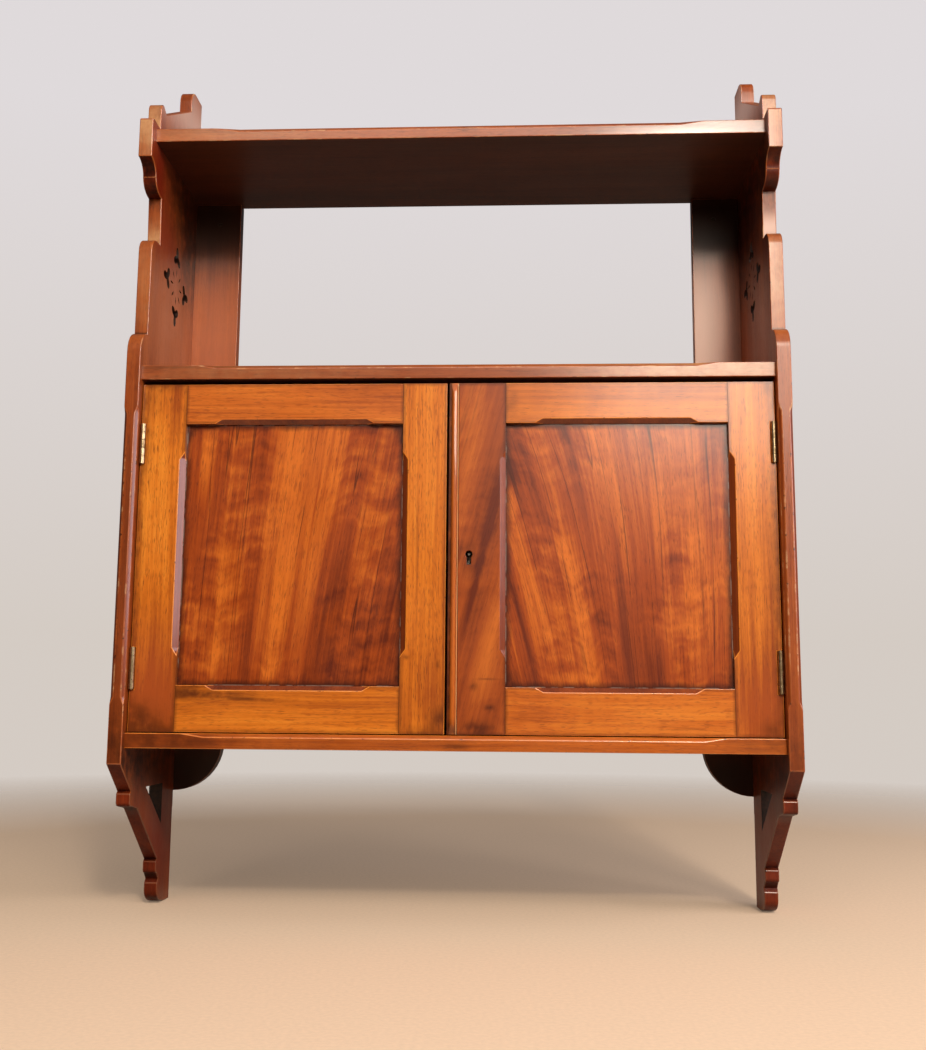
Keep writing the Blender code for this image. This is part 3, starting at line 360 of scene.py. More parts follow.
# a mark is its middle and half sizes, across and up in millimetres, its amount and, where turned, its degrees
woodLooks = {
    "left_side": {
        "shift": (0.2, 0.5, 0.1), "coat": 0.22, "marksAcross": "y", "blotches": ((-80, 250, 5000, 100, 0.13),),
        # the pale tint across the top is a painted sheen on the faces above the top shelf
        "tints": (
            (-160, 400, 40, 60, 0.85, deepRed), (-120, 340, 60, 30, 0.8, warmRed), (-110, 250, 90, 60, 0.65, rosy),
            (-80, -285, 150, 60, 0.8, warmRed), (-80, 510, 5000, 42, 0.85, paintedSheen)),
        # painted shadow of the top shelf below it, and painted shade under the bottom board
        "stains": (
            (-60, 420, 70, 45, 1.0), (-30, 360, 50, 55, 1.0), (-40, 400, 60, 60, 1.0), (-80, -200, 5000, 30, 0.9))},
    "right_side": {
        "shift": (1.7, 0.2, 0.6), "coat": 0.3, "marksAcross": "y",
        # the pale tint across the top is a painted sheen on the faces above the top shelf
        "tints": (
            (-110, 225, 90, 50, 0.75, ruddyBrown), (-80, 510, 5000, 42, 0.9, paintedSheen),
            (-80, -285, 150, 60, 1.0, ruddyBrown)),
        # painted shadow of the top shelf below it, and painted shade under the bottom board
        "stains": ( (-80, 400, 5000, 60, 1.0), (-40, 360, 60, 60, 0.9), (-80, -205, 5000, 35, 0.8))},
    # the front edges: marks from the hollows are painted shade; the pale worn patches on the caps and blocks are wear
    # and painted sheen
    "left_side_edge": {
        "shift": (0.9, 0.1, 0.4), "coat": 0.5, "coatRough": 0.12,
        "blotches": edgeMarks(-1, "edge", -0.4) + (edgeMark(-1, 280, 50, 0.08),),
        "stains": edgeMarks(-1, "edge", 1.0) + (edgeMark(-1, -190, 50, 0.7),),
        "worn": (edgeMark(-1, 447, 32, 0.95), edgeMark(-1, 280, 50, 0.2))},
    "right_side_edge": {
        "shift": (1.1, 0.7, 0.2), "coat": 0.5, "coatRough": 0.2, "blotches": edgeMarks(1, "edge", -0.4),
        "stains": edgeMarks(1, "edge", 1.0) + (edgeMark(1, -190, 40, 0.45),),
        "worn": (edgeMark(1, 460, 35, 0.6), edgeMark(1, 280, 50, 0.45))},
    # the necks: painted shade at the top under the ovolo; the pale tint low on the right neck is a painted highlight
    "left_side_neck": {
        "shift": (0.9, 0.1, 0.4), "coat": 0.15, "stains": edgeMarks(-1, "neck", 0.9),
        "worn": (edgeMark(-1, 336, 15, 0.7),)},
    "right_side_neck": {
        "shift": (1.1, 0.7, 0.2), "coat": 0.15, "stains": edgeMarks(1, "neck", 0.7) + (edgeMark(1, 363, 8, 0.4),),
        "tints": ((*edgeMark(1, 340, 17, 0.9), paintedSheen),)},
    # a darker copy of the edge wood for the faces turned down, the mouldings and the feet: painted shade, darker
    # still in the hollows
    "left_side_shade": {
        "palette": "foot", "shift": (0.9, 0.1, 0.4), "coat": 0.06, "gloss": 0.12,
        "stains": edgeMarks(-1, "shade", 1.0)},
    "right_side_shade": {
        "palette": "foot", "shift": (1.1, 0.7, 0.2), "coat": 0.15, "stains": edgeMarks(1, "shade", 0.9)},
    "left_side_outer": {"shift": (0.6, 1.3, 0.1)},
    "right_side_outer": {"shift": (2.1, 1.0, 0.6)},
    "top_shelf": {
        "grain": "x", "shift": (0.4, 0.3, 2.1), "worn": ((-260, 437, 120, 20, 0.25),),
        "blotches": ((50, 437, 120, 20, 0.08),), "stains": ((12, 440, 12, 4, 0.7), (285, 436, 6, 4, 0.5))},
    "middle_shelf": {
        "grain": "x", "shift": (2.4, 0.9, 1.3), "coat": 0.9,
        # pale patches along the front edge: wear, and at the right end painted sheen
        "worn": ((-200, 182, 150, 20, 0.2), (250, 182, 120, 20, 0.6))},
    "bottom_board": {
        "grain": "x", "shift": (3.1, 0.1, 0.4), "palette": "amber", "blotches": ((-280, -178, 60, 30, -0.17),),
        "stains": (
            (4, -181, 12, 3, 0.7), (-240, -178, 20, 4, 0.4), (-280, -178, 60, 20, 0.8), (290, -178, 30, 20, 0.4))},
    "left_door_hinge_stile": {
        "palette": "golden", "shift": (0.7, 0.4, 0.2), "pores": 0.65, "flecks": 0.5, "streaks": (9.0, 420.0, 0.3),
        "tints": ((-290, -130, 50, 55, 0.5, ruddyBrown),),
        "blotches": (
            (-290, 150, 30, 30, -0.07), (-290, -150, 40, 40, -0.2), (-285, 20, 12, 90, 0.05),
            (-290, -80, 50, 60, -0.1)),
        # the long strip down the hinge edge is painted shade beside the gap
        "stains": (
            (-300, -155, 12, 14, 0.8), (-285, -168, 30, 7, 0.7), (-305, 110, 6, 30, 0.5), (-290, 168, 30, 5, 0.5),
            (-293, -163, 25, 12, 0.6), (-308.5, 20, 5, 200, 0.6), (-303, 160, 12, 20, 0.45))},
    "left_door_meeting_stile": {
        "palette": "golden", "shift": (1.9, 0.1, 3.3), "pores": 0.65, "flecks": 0.55, "streaks": (9.0, 420.0, 0.3),
        "blotches": ((-28, -140, 30, 50, -0.13), (-30, 50, 15, 80, 0.04)),
        "stains": (
            (-11, -158, 10, 12, 0.9), (-24, -168, 20, 5, 0.7), (-44, -98, 3, 2, 0.8), (-14, -105, 2, 5, 0.6))},
    "left_door_top_rail": {
        "palette": "amber", "grain": "x", "shift": (0.1, 0.2, 1.4), "streaks": (9.0, 420.0, 0.34), "flecks": 0.45,
        "blotches": ((-160, 155, 90, 12, 0.05),)},
    "left_door_bottom_rail": {
        "palette": "golden", "grain": "x", "shift": (4.2, 1.2, 0.9), "streaks": (9.0, 420.0, 0.3), "flecks": 0.5,
        "blotches": ((-170, -150, 80, 16, 0.06),),
        "stains": ( (-235, -134.5, 40, 4, 1.0, 1), (-195, -138.5, 30, 2, 0.8, -2), (-255, -131, 16, 6, 0.9))},
    "left_door_panel": {
        **panelWood, "lean": -0.219, "fan": -0.65, "shift": (1.0, 0.0, 0.5),
        "blotches": (
            (-245, -10, 22, 100, -0.07), (-205, 85, 20, 50, -0.07, -6), (-78, -75, 28, 55, -0.11, -10),
            (-128, -60, 10, 60, -0.07, -10), (-165, 0, 18, 120, 0.06, -7), (-95, 70, 18, 60, 0.08, -10),
            (-150, 100, 20, 30, 0.06, -8), (-247, 95, 6, 30, 0.11), (-225, -100, 18, 20, 0.07),
            (-60, 0, 10, 50, -0.07, -9), (-160, -135, 200, 35, -0.07))},
    "right_door_hinge_stile": {
        "palette": "golden", "shift": (2.2, 0.6, 1.1), "pores": 0.55, "flecks": 0.45, "streaks": (9.0, 420.0, 0.28),
        "tints": ((292, -145, 40, 45, 0.45, ruddyBrown),),
        "blotches": ((288, 90, 20, 50, 0.05), (288, -140, 40, 50, -0.13)),
        # the long strip down the hinge edge is painted shade beside the gap
        "stains": (
            (270, -12, 2, 4, 1.0), (300, -163, 12, 8, 0.6), (306, -110, 5, 30, 0.4), (308.5, 20, 6, 200, 0.6),
            (306, 165, 12, 12, 0.5))},
    "right_door_lock_stile": {
        "palette": "russet", "lean": -0.26, "shift": (0.5, 2.0, 0.3), "bands": (2.2, 40.0, 0.85), "contrast": 0.2,
        "mottle": (90.0, 30.0, 0.28), "streaks": (9.0, 420.0, 0.1), "flecks": 0.14, "pores": 0.28, "coat": 0.6,
        "blotches": (
            (38, 45, 7, 60, -0.2, -14), (18, -40, 6, 50, -0.14, -12), (18, 100, 10, 70, 0.16, -12),
            (34, -100, 10, 50, 0.1, -8), (22, -150, 30, 20, -0.06)),
        "stains": (
            (16, -4, 10, 16, 0.45), (20, -125, 4, 4, 0.7), (36, -145, 6, 3, 0.8), (24, -164, 16, 7, 0.8),
            (34, -118, 12, 1, 0.5))},
    "right_door_top_rail": {
        "palette": "golden", "grain": "x", "shift": (3.6, 0.2, 2.8), "streaks": (9.0, 420.0, 0.16), "flecks": 0.2,
        "lines": 0.1, "stains": ((56, 150, 6, 16, 0.4),)},
    "right_door_bottom_rail": {
        "palette": "amber", "grain": "x", "shift": (5.3, 0.7, 1.9), "streaks": (9.0, 420.0, 0.3), "flecks": 0.45,
        "blotches": ((75, -148, 30, 20, -0.06), (200, -150, 60, 20, 0.06))},
    "right_door_panel": {
        **panelWood, "lean": 0.375, "fan": -1.5, "shift": (2.9, 0.3, 0.8), "coat": 0.6,
        "blotches": (
            (90, 55, 18, 55, -0.1, 20), (60, 100, 14, 30, -0.07), (162, -60, 14, 70, -0.12, 8),
            (200, -105, 22, 20, -0.06), (85, -55, 22, 80, 0.08, 18), (130, 20, 12, 80, 0.06, 12),
            (190, 60, 25, 50, 0.06, 6), (252, -10, 22, 120, 0.17), (210, -15, 12, 30, -0.07),
            (160, -135, 200, 30, -0.05))},
    "right_door_bead": {
        "palette": "amber", "shift": (0.9, 0.1, 0.1), "coat": 1.0, "coatRough": 0.06,
        # the dark strips left of the roll are its painted shadow on the left flank; the pale lines right of it are a
        # painted highlight and wear along the fillet's edge
        "stains": ( (0, -168, 10, 9, 0.9), (-4.2, 0, 2.6, 1500, 1.0), (-4.2, 0, 2, 1500, 1.0)),
        "worn": ((4.2, 0, 0.6, 1500, 0.9), (4.2, 0, 0.6, 1500, 0.6))},
    "left_back_stile": {
        "shift": (1.2, 0.5, 0.3), "coat": 0.4, "coatRough": 0.24,
        # near-black tints: painted shadow of the top shelf at the top, painted shade under the bottom board at the
        # foot
        "tints": (
            (-285, 270, 80, 80, 0.6, rosy), (-285, 410, 80, 50, 1.0, paintedShadow), (-285, 395, 80, 40, 0.8, paintedShadow),
            (-285, -215, 100, 45, 1.0, paintedShadow), (-285, -230, 100, 45, 0.8, paintedShadow))},
    "right_back_stile": {
        "shift": (0.6, 0.7, 2.3), "coat": 0.15, "coatRough": 0.28, "gloss": 0.1,
        # the pale tint is a painted sheen where the stile is lit; the near-black tints are painted shadow of the top
        # shelf at the top and painted shade under the bottom board at the foot
        "tints": (
            (268, 270, 34, 120, 0.95, paintedSheen), (285, 412, 80, 45, 1.0, paintedShadow), (285, 400, 80, 35, 0.8, paintedShadow),
            (285, 385, 100, 28, 1.0, paintedShadow), (285, -215, 100, 45, 1.0, paintedShadow), (285, -230, 100, 45, 0.8, paintedShadow))},
}
bareWood = {"palette": "dull", "coat": 0.0, "rough": 0.55}
for node, grain, shift in (("back_board_left", "z", (0.3, 0.0, 0.1)), ("back_board_middle", "z", (1.3, 0.4, 0.7)),
                           ("back_board_right", "z", (2.3, 0.8, 1.7)), ("inner_shelf", "x", (0.8, 0.2, 0.2)),
                           ("left_shelf_bearer", "x", (0.2, 0.6, 0.2)), ("right_shelf_bearer", "x", (0.9, 0.9, 0.5)),
                           ("left_door_stop", "x", (1.1, 0.3, 0.8)), ("right_door_stop", "x", (1.6, 0.2, 0.9))):
    woodLooks[node] = {**bareWood, "grain": grain, "shift": shift}
for node, look in woodLooks.items():
    if node.endswith(("stile", "rail")) and "_door_" in node:
        look["grime"] = memberGrime(node)
for side in memberNames:
    woodLooks[side + "_door_panel"]["grime"] = *openingOf(side), *edgeDirtAndShade["panel"]
    woodLooks[side + "_door_panel"]["stains"] = cornerDirtAndShade(side)
woods = {node: woodMaterial(node + "_wood", look) for node, look in woodLooks.items()}
# the shelves' undersides take a darker, duller copy of the wood: unfinished wood and painted shade
underside = woodMaterial("shelf_underside", {"palette": "shade", "grain": "x", "coat": 0.6, "coatRough": 0.3,
                                             "rough": 0.6})
# the chamfers take a darker, glossier wood: old polish lying thicker there, and partly painted shade
chamferWood = woodMaterial("chamfer_wood", {"palette": "chamfer", "flecks": 0.2, "pores": 0.25, "coat": 0.9,
                                            "coatRough": 0.16})
arrises = {palette: arrisMaterial(palette) for palette in arrisLook["rubbed"]}
print("woods:", len(woods))


sawnLook = {"scale": 300.0, "tones": ((0.3, (0.012, 0.006, 0.004)), (0.7, (0.045, 0.017, 0.01))), "rough": 0.5}


def sawnMaterial():  # walls of the piercings, near black with a little mottling: painted shade in the holes
    material, tree, shader = newMaterial("sawn_fret")
    colour = ramp(tree, cloud(tree, placeOnPiece(tree), sawnLook["scale"], 3.0), sawnLook["tones"])
    feed(tree, shader, {"Base Color": colour, "Roughness": sawnLook["rough"]})
    return material


sawn = sawnMaterial()

# Metals
metalLook = {"patch": 180.0, "patchNoise": (4.0, 0.6), "toneAt": (0.35, 0.62), "speck": (1400.0, 1400.0, 500.0),
             "speckWeight": 0.4, "dullSpan": (0.4, 0.9), "dull": (0.15, -0.08), "bump": 0.15, "bumpDepth": 0.0002}


def metalMaterial(name, clean, tarnished, rough):  # two tones in cloudy patches, with fine scratches in the gloss
    look = metalLook
    material, tree, shader = newMaterial(name)
    where = placeOnPiece(tree)
    patches = cloud(tree, where, look["patch"], *look["patchNoise"])
    specks = cloud(tree, where, look["speck"])
    colour = ramp(tree, patches, tuple(zip(look["toneAt"], (tarnished, clean))))
    worn = plus(tree, patches, times(tree, specks, look["speckWeight"]))
    dull = span(tree, worn, *look["dullSpan"], *(rough + change for change in look["dull"]))
    bump = {"Strength": look["bump"], "Distance": look["bumpDepth"], "Height": specks}
    feed(tree, shader, {"Base Color": colour, "Roughness": dull, "Normal": put(tree, "ShaderNodeBump", bump),
                        "Metallic": 1.0})
    return material


brass = metalMaterial("aged_brass", (0.56, 0.43, 0.26), (0.24, 0.16, 0.08), 0.34)
iron = metalMaterial("lock_iron", (0.25, 0.23, 0.21), (0.1, 0.085, 0.075), 0.42)
rusty = metalMaterial("rusty_steel", (0.06, 0.04, 0.03), (0.02, 0.012, 0.008), 0.5)
metals = {"brass": brass, "lock_iron": iron}


def dressPiece(name, mesh, materials, body, nodes=()):  # puts a finished mesh on its body
    for material in materials:
        mesh.materials.append(material)
    piece = bpy.data.objects.new(name, mesh)
    scene.collection.objects.link(piece)
    for node in nodes:
        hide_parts(node)
    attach(piece, body)
    return piece


# Pieces that repeat a CAD node with its arrises eased
easing = {"side_wood": 0.0009, "shelf_wood": 0.0008, "frame_wood": 0.0005, "panel_wood": 0.0004, "back_wood": 0.0005,
          "brass": 0.00018, "lock_iron": 0.0003}
sharpMargin = {"housing": 0.0006, "joint": 0.0012, "screw": 0.004}
shelves = ("top_shelf", "middle_shelf", "bottom_board")
piercings = {"fret": ((-0.0825, 0.3055), 0.046), "foot": ((-0.0803, -0.2473), 0.0285)}
wallScrews = {"across": 0.2835, "seat": -0.0124, "rows": (0.405, -0.115), "tilts": (30, -50, 75, 10),
              "size": (0.0023, 0.0003, 0.0118)}
sideHeights = {"footSeam": -0.255, "footTop": -0.2, "moulding": (0.372, 0.409), "neck": (0.335, 0.372)}
sideZones = {"sawn": 1, "chamfer": 2, "edge": 3, "outer": 4, "shade": 5, "neck": 6}
facing = {"square": 0.9, "rim": 0.3, "down": -0.2, "chamfer": (0.2, 0.95)}
arrisRule = {"angle": 25, "outward": -1e-7, "shortest": 0.8, "merge": 0.000002, "flat": 0.6, "rings": 3}


def piercingBox(name):  # corners of the block that holds a piercing of both sides
    (y, z), reach = piercings[name]
    return (-1.0, y - reach, z - reach), (1.0, y + reach, z + reach)


def between(values, ends):
    return (values > ends[0]) & (values < ends[1])


def inside(points, box, margin=0.0):
    low, high = (np.array(corner) for corner in box)
    return ((points > low - margin) & (points < high + margin)).all(1)


def faceArrays(mesh):
    count = len(mesh.polygons)
    area, normal, centre = np.empty(count), np.empty((count, 3)), np.empty((count, 3))
    mesh.polygons.foreach_get("area", area)
    mesh.polygons.foreach_get("normal", normal.ravel())
    mesh.polygons.foreach_get("center", centre.ravel())
    return area, normal, centre


def loopArrays(mesh):  # for each corner its point, its edge and its face
    count = len(mesh.loops)
    point, edge = np.empty(count, np.int32), np.empty(count, np.int32)
    mesh.loops.foreach_get("vertex_index", point)
    mesh.loops.foreach_get("edge_index", edge)
    faceSize = np.empty(len(mesh.polygons), np.int32)
    mesh.polygons.foreach_get("loop_total", faceSize)
    return point, edge, np.repeat(np.arange(len(faceSize)), faceSize)


def arrisEdges(mesh, sharpBoxes, ease):
    # an arris is eased where two faces meet at more than the rule's angle, turned outwards, away from the boxes
    count = len(mesh.edges)
    loopEdge, loopFace = loopArrays(mesh)[1:]
    faces = loopFace[np.argsort(loopEdge, kind="stable")].reshape(count, 2)
    area, normal, centre = faceArrays(mesh)
    swap = area[faces[:, 0]] < area[faces[:, 1]]
    faces[swap] = faces[swap][:, ::-1]
    big, small = faces.T
    angle = np.degrees(np.arccos(np.clip((normal[big] * normal[small]).sum(1), -1, 1)))
    ends = np.empty((count, 2), np.int32)
    mesh.edges.foreach_get("vertices", ends.ravel())
    points = np.empty((len(mesh.vertices), 3))
    mesh.vertices.foreach_get("co", points.ravel())
    outward = ((centre[small] - points[ends[:, 0]]) * normal[big]).sum(1) < arrisRule["outward"]
    middle = points[ends].mean(1)
    length = np.linalg.norm(points[ends[:, 0]] - points[ends[:, 1]], axis=1)
    keep = (angle > arrisRule["angle"]) & outward & (length > arrisRule["shortest"] * ease)
    for box, margin in sharpBoxes:
        keep &= ~inside(middle, box, margin)
    return np.flatnonzero(keep)


def settleNormals(mesh, reach=33):
    # a corner takes the mean, by area, of the faces round its point that lie within reach degrees of its own face
    point, _, face = loopArrays(mesh)
    area, normal, _ = faceArrays(mesh)
    order = np.argsort(point, kind="stable")
    share = np.bincount(point)[point]
    first = np.repeat(np.arange(len(point)), share)
    step = np.arange(len(first)) - np.repeat(np.cumsum(share) - share, share)
    begin = (np.cumsum(np.bincount(point)) - np.bincount(point))[point]
    second = order[begin[first] + step]
    near = (normal[face[first]] * normal[face[second]]).sum(1) > math.cos(math.radians(reach))
    total = np.zeros((len(point), 3))
    np.add.at(total, first[near], (normal * area[:, None])[face[second[near]]])
    mesh.shade_smooth()
    mesh.normals_split_custom_set(total / np.linalg.norm(total, axis=1)[:, None])


def sharpBoxesOf(node):  # (box, margin) of each place where a piece keeps its sharp arrises
    slot, boxes = slotOf[node], []
    if slot == "side_wood":  # the piercings and the housings
        boxes = [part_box(name) for name in shelves + (node.replace("side", "back_stile"),)]
        boxes = [(box, sharpMargin["housing"]) for box in boxes + [piercingBox(name) for name in piercings]]
    elif node.endswith("back_stile"):  # the holes for the wall screws
        middle = math.copysign(wallScrews["across"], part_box(node)[0].x)
        boxes = [(((middle, -1.0, z), (middle, 1.0, z)), sharpMargin["screw"]) for z in wallScrews["rows"]]
    elif slot == "frame_wood":  # the joints of a door's frame, the grooves for its panel and the strike's recess
        door = node.split("_door_")[0]
        near = [name for name in cadNodes if name.split("_door_")[0] == door and name != node]
        boxes = [(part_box(name), sharpMargin["joint"]) for name in near if name.endswith(("stile", "rail", "panel"))]
        if node == "left_door_meeting_stile":
            boxes.append((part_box("lock_strike"), sharpMargin["housing"]))
    return boxes


def faceKinds(node, mesh):  # the materials of a piece and, for each of its faces, the number of the one it has
    slot = slotOf[node]
    normal, centre = faceArrays(mesh)[1:]
    tilt, kind = np.abs(normal), np.zeros(len(normal), np.int32)
    materials = [woods[node] if node in woods else metals[slot]]
    if node in shelves:
        # faces turned down take the underside wood: painted shade
        materials.append(underside)
        kind[normal[:, 2] < -facing["square"]] = 1
    elif slot == "side_wood":
        materials += [sawn, chamferWood] + [woods[node + zone] for zone in ("_edge", "_outer", "_shade", "_neck")]
        rim, height = tilt[:, 0] < facing["rim"], centre[:, 2]
        outward = normal[:, 0] * (1 if node == "right_side" else -1)
        pierced = np.any([inside(centre, piercingBox(name)) for name in piercings], axis=0)
        for zone, faces in (
                ("edge", rim),
                # the faces turned down, the mouldings and the feet take the darker shade wood: painted shade
                ("shade", rim & ((normal[:, 2] < facing["down"]) | (height < sideHeights["footTop"]))),
                ("shade", rim & between(height, sideHeights["moulding"])),
                ("neck", rim & between(height, sideHeights["neck"]) & (normal[:, 1] < -facing["square"])),
                ("sawn", rim & pierced),
                ("chamfer", (tilt[:, :2] > facing["rim"]).all(1)),
                ("outer", outward > facing["square"])):
            kind[faces] = sideZones[zone]
    elif slot == "frame_wood":
        materials.append(chamferWood)
        slanted, square = facing["chamfer"]
        kind[(tilt[:, 1] > slanted) & (tilt.max(1) < square)] = 1
    return materials, kind


def easedPiece(node):  # a copy of the CAD node with its flat faces joined and its arrises rounded
    slot = slotOf[node]
    work = bmesh.new()
    work.from_mesh(cadNodes[node].data)
    bmesh.ops.remove_doubles(work, verts=work.verts, dist=arrisRule["merge"])
    if slot == "side_wood":  # a seam across the foot's piercing leaves two plain faces there
        cut = bmesh.ops.bisect_plane(work, geom=work.verts[:] + work.edges[:] + work.faces[:],
                                     plane_co=(0, 0, sideHeights["footSeam"]), plane_no=(0, 0, 1))
        for edge in (item for item in cut["geom_cut"] if isinstance(item, bmesh.types.BMEdge)):
            edge.seam = True
    bmesh.ops.dissolve_limit(work, angle_limit=math.radians(arrisRule["flat"]), verts=work.verts, edges=work.edges,
                             delimit={"SEAM"})
    mesh = bpy.data.meshes.new(node + "_eased")
    work.to_mesh(mesh)
    mesh.materials.clear()
    materials, kind = faceKinds(node, mesh)
    mesh.polygons.foreach_set("material_index", kind)
    palette = woodLooks[node].get("palette", plainWood["palette"]) if node in woods else None
    arrisSlot = -1
    if palette in arrises:
        arrisSlot = len(materials)
        materials.append(arrises[palette])
    eased = arrisEdges(mesh, sharpBoxesOf(node), easing[slot])
    work.clear()
    work.from_mesh(mesh)
    work.edges.ensure_lookup_table()
    bmesh.ops.bevel(work, geom=[work.edges[index] for index in eased], offset=easing[slot], offset_type="OFFSET",
                    segments=arrisRule["rings"], profile=0.5, affect="EDGES", clamp_overlap=False, loop_slide=False,
                    material=arrisSlot)
    work.to_mesh(mesh)
    work.free()
    settleNormals(mesh)
    dressPiece(node + "_eased", mesh, materials, bodyOf[node], (node,))


# Pieces worked out as surfaces
def solidMesh(name, points, faces, sharp=35):  # one closed mesh, faces outwards, smooth between its sharp edges
    mesh = bpy.data.meshes.new(name)
    mesh.from_pydata(points, [], faces)
    work = bmesh.new()
    work.from_mesh(mesh)
    bmesh.ops.recalc_face_normals(work, faces=work.faces)
    work.to_mesh(mesh)
    work.free()
    mesh.shade_smooth()
    mesh.set_sharp_from_angle(angle=math.radians(sharp))
    return mesh


def tubeMesh(name, grid, sharp=35):  # grid[copy, row, column]: the columns close, the end rows are capped
    copies, rows, columns = grid.shape[:3]
    index = np.arange(copies * rows * columns).reshape(copies, rows, columns)
    after = np.roll(index, -1, axis=2)
    quads = np.stack([index[:, :-1], after[:, :-1], after[:, 1:], index[:, 1:]], -1).reshape(-1, 4)
    caps = np.concatenate([index[:, 0, ::-1], index[:, -1]])
    return solidMesh(name, grid.reshape(-1, 3), quads.tolist() + caps.tolist(), sharp)


def lidMesh(name, top, bottom):  # two sheets over the same grid, joined round their border
    copies, rows, columns = top.shape[:3]
    size = rows * columns
    index = np.arange(size).reshape(rows, columns)
    cells = np.stack([index[:-1, :-1], index[1:, :-1], index[1:, 1:], index[:-1, 1:]], -1).reshape(-1, 4)
    border = np.concatenate([index[0, :-1], index[:-1, -1], index[-1, :0:-1], index[:0:-1, 0]])
    after = np.roll(border, -1)
    walls = np.stack([border, after, after + size, border + size], -1)
    faces = np.concatenate([cells, cells[:, ::-1] + size, walls])
    faces = (faces + 2 * size * np.arange(copies)[:, None, None]).reshape(-1, 4)
    points = np.concatenate([top.reshape(copies, -1, 3), bottom.reshape(copies, -1, 3)], 1)
    return solidMesh(name, points.reshape(-1, 3), faces.tolist())


bead = {"crestAt": -0.0001, "leftReach": 0.0027, "crown": (0.05, 37.5), "shoulder": (0.0022, 0.0009),
        "fillet": 0.0034, "filletRise": 0.0009, "stop": 0.009, "stopSpan": 1.15, "stopRows": 14, "columns": 93,
        "sharp": 40}


def makeBead():
    # left of its crest the front is a quarter ellipse; right of it a crown that falls by slope * d + bend * d^2 and
    # ends in a small quarter ellipse, then a quirk and a low fillet; near both ends a sloping plane from the door's
    # face cuts it off, and the section goes on round its back
    low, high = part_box("right_door_bead")
    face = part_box("right_door_lock_stile")[0].y
    crest = face - low.y
    x = np.linspace(low.x, high.x, bead["columns"])
    d = x - bead["crestAt"]
    slope, bend = bead["crown"]
    start, reach = bead["shoulder"]
    left = crest * np.sqrt(np.clip(1 - (d / bead["leftReach"]) ** 2, 0, 1))
    right = crest - slope * d - bend * d ** 2
    right = np.minimum(right, crest * np.sqrt(np.clip(1 - (np.maximum(d - start, 0) / reach) ** 2, 0, 1)))
    fillet = bead["filletRise"] * (x > bead["fillet"])
    rise = np.maximum(np.where(d < 0, left, right), fillet)
    ends = bead["stop"] * bead["stopSpan"] * np.linspace(0, 1, bead["stopRows"])
    z = np.concatenate([low.z + ends, high.z - ends[::-1]])
    fromEnd = np.minimum(z - low.z, high.z - z)
    cut = crest * fromEnd / bead["stop"]
    proud = np.minimum(rise[None, :], cut[:, None])
    front = np.stack(np.broadcast_arrays(x[None, :], face - proud, z[:, None]), -1)
    back = np.stack(np.broadcast_arrays(x[None, ::-1][:, [0, -1]], high.y, z[:, None]), -1)
    grid = np.concatenate([front, back], 1)[None]
    mesh = tubeMesh("right_door_bead_roll", grid, bead["sharp"])
    dressPiece("right_door_bead_roll", mesh, [woods["right_door_bead"]], bodyOf["right_door_bead"],
               ("right_door_bead",))


pin = {"crown": 0.0007, "tip": 0.06, "rows": 6, "columns": 24, "sharp": 50}


def makeHingePins():  # a rod turned about its axis, each end a quarter ellipse that stands out of the knuckle
    for node in cadNodes:
        if not node.endswith("hinge_pin"):
            continue
        low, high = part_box(node)
        radius = (high.x - low.x) / 2
        swing = np.linspace(pin["tip"], math.pi / 2, pin["rows"])
        height = np.concatenate([low.z - pin["crown"] * np.cos(swing), high.z + pin["crown"] * np.cos(swing[::-1])])
        reach = radius * np.concatenate([np.sin(swing), np.sin(swing[::-1])])
        turn = np.linspace(0, math.tau, pin["columns"], endpoint=False)
        x = (low.x + high.x) / 2 + reach[:, None] * np.cos(turn)
        y = (low.y + high.y) / 2 + reach[:, None] * np.sin(turn)
        grid = np.stack(np.broadcast_arrays(x, y, height[:, None]), -1)
        mesh = tubeMesh(node + "_crowned", grid[None], pin["sharp"])
        dressPiece(node + "_crowned", mesh, [brass], bodyOf[node], (node,))


screw = {"steps": 11, "slotHalf": 0.13, "slotWall": 0.01, "slotDeep": 0.8, "fall": 0.7}


def makeScrews(name, seats, size, material, body):
    # a square grid (u, v) pressed into a disc: u * sqrt(1 - v^2 / 2) and v * sqrt(1 - u^2 / 2); its height is
    # rise * (1 - fall * distance^2), less the slot's depth between two lines of the grid
    radius, rise, depth = size
    even = np.linspace(screw["slotHalf"], 1, screw["steps"] // 2)
    slotFoot = screw["slotHalf"] - screw["slotWall"]
    u = np.concatenate([-even[::-1], [-slotFoot, slotFoot], even])
    v = np.linspace(-1, 1, screw["steps"])
    u, v = np.meshgrid(u, v, indexing="ij")
    a, b = u * np.sqrt(1 - v ** 2 / 2), v * np.sqrt(1 - u ** 2 / 2)
    height = rise * (1 - screw["fall"] * (a ** 2 + b ** 2))
    inSlot = np.abs(u) < screw["slotHalf"] - screw["slotWall"] / 2
    height = np.where(inSlot, rise * (1 - screw["slotDeep"]), height)
    places = np.array([seat[0] for seat in seats])
    faces = np.array([seat[1] for seat in seats], float)
    tilt = np.radians([seat[2] for seat in seats])[:, None]
    upward = np.array([0.0, 0.0, 1.0])
    sideways = np.cross(upward, faces)
    first = sideways * np.cos(tilt) + upward * np.sin(tilt)
    second = np.cross(faces, first)
    flat = radius * (a[None, ..., None] * first[:, None, None] + b[None, ..., None] * second[:, None, None])
    seat = places[:, None, None] + flat
    top = seat + height[None, ..., None] * faces[:, None, None]
    dressPiece(name, lidMesh(name, top, seat - depth * faces[:, None, None]), [material], body)


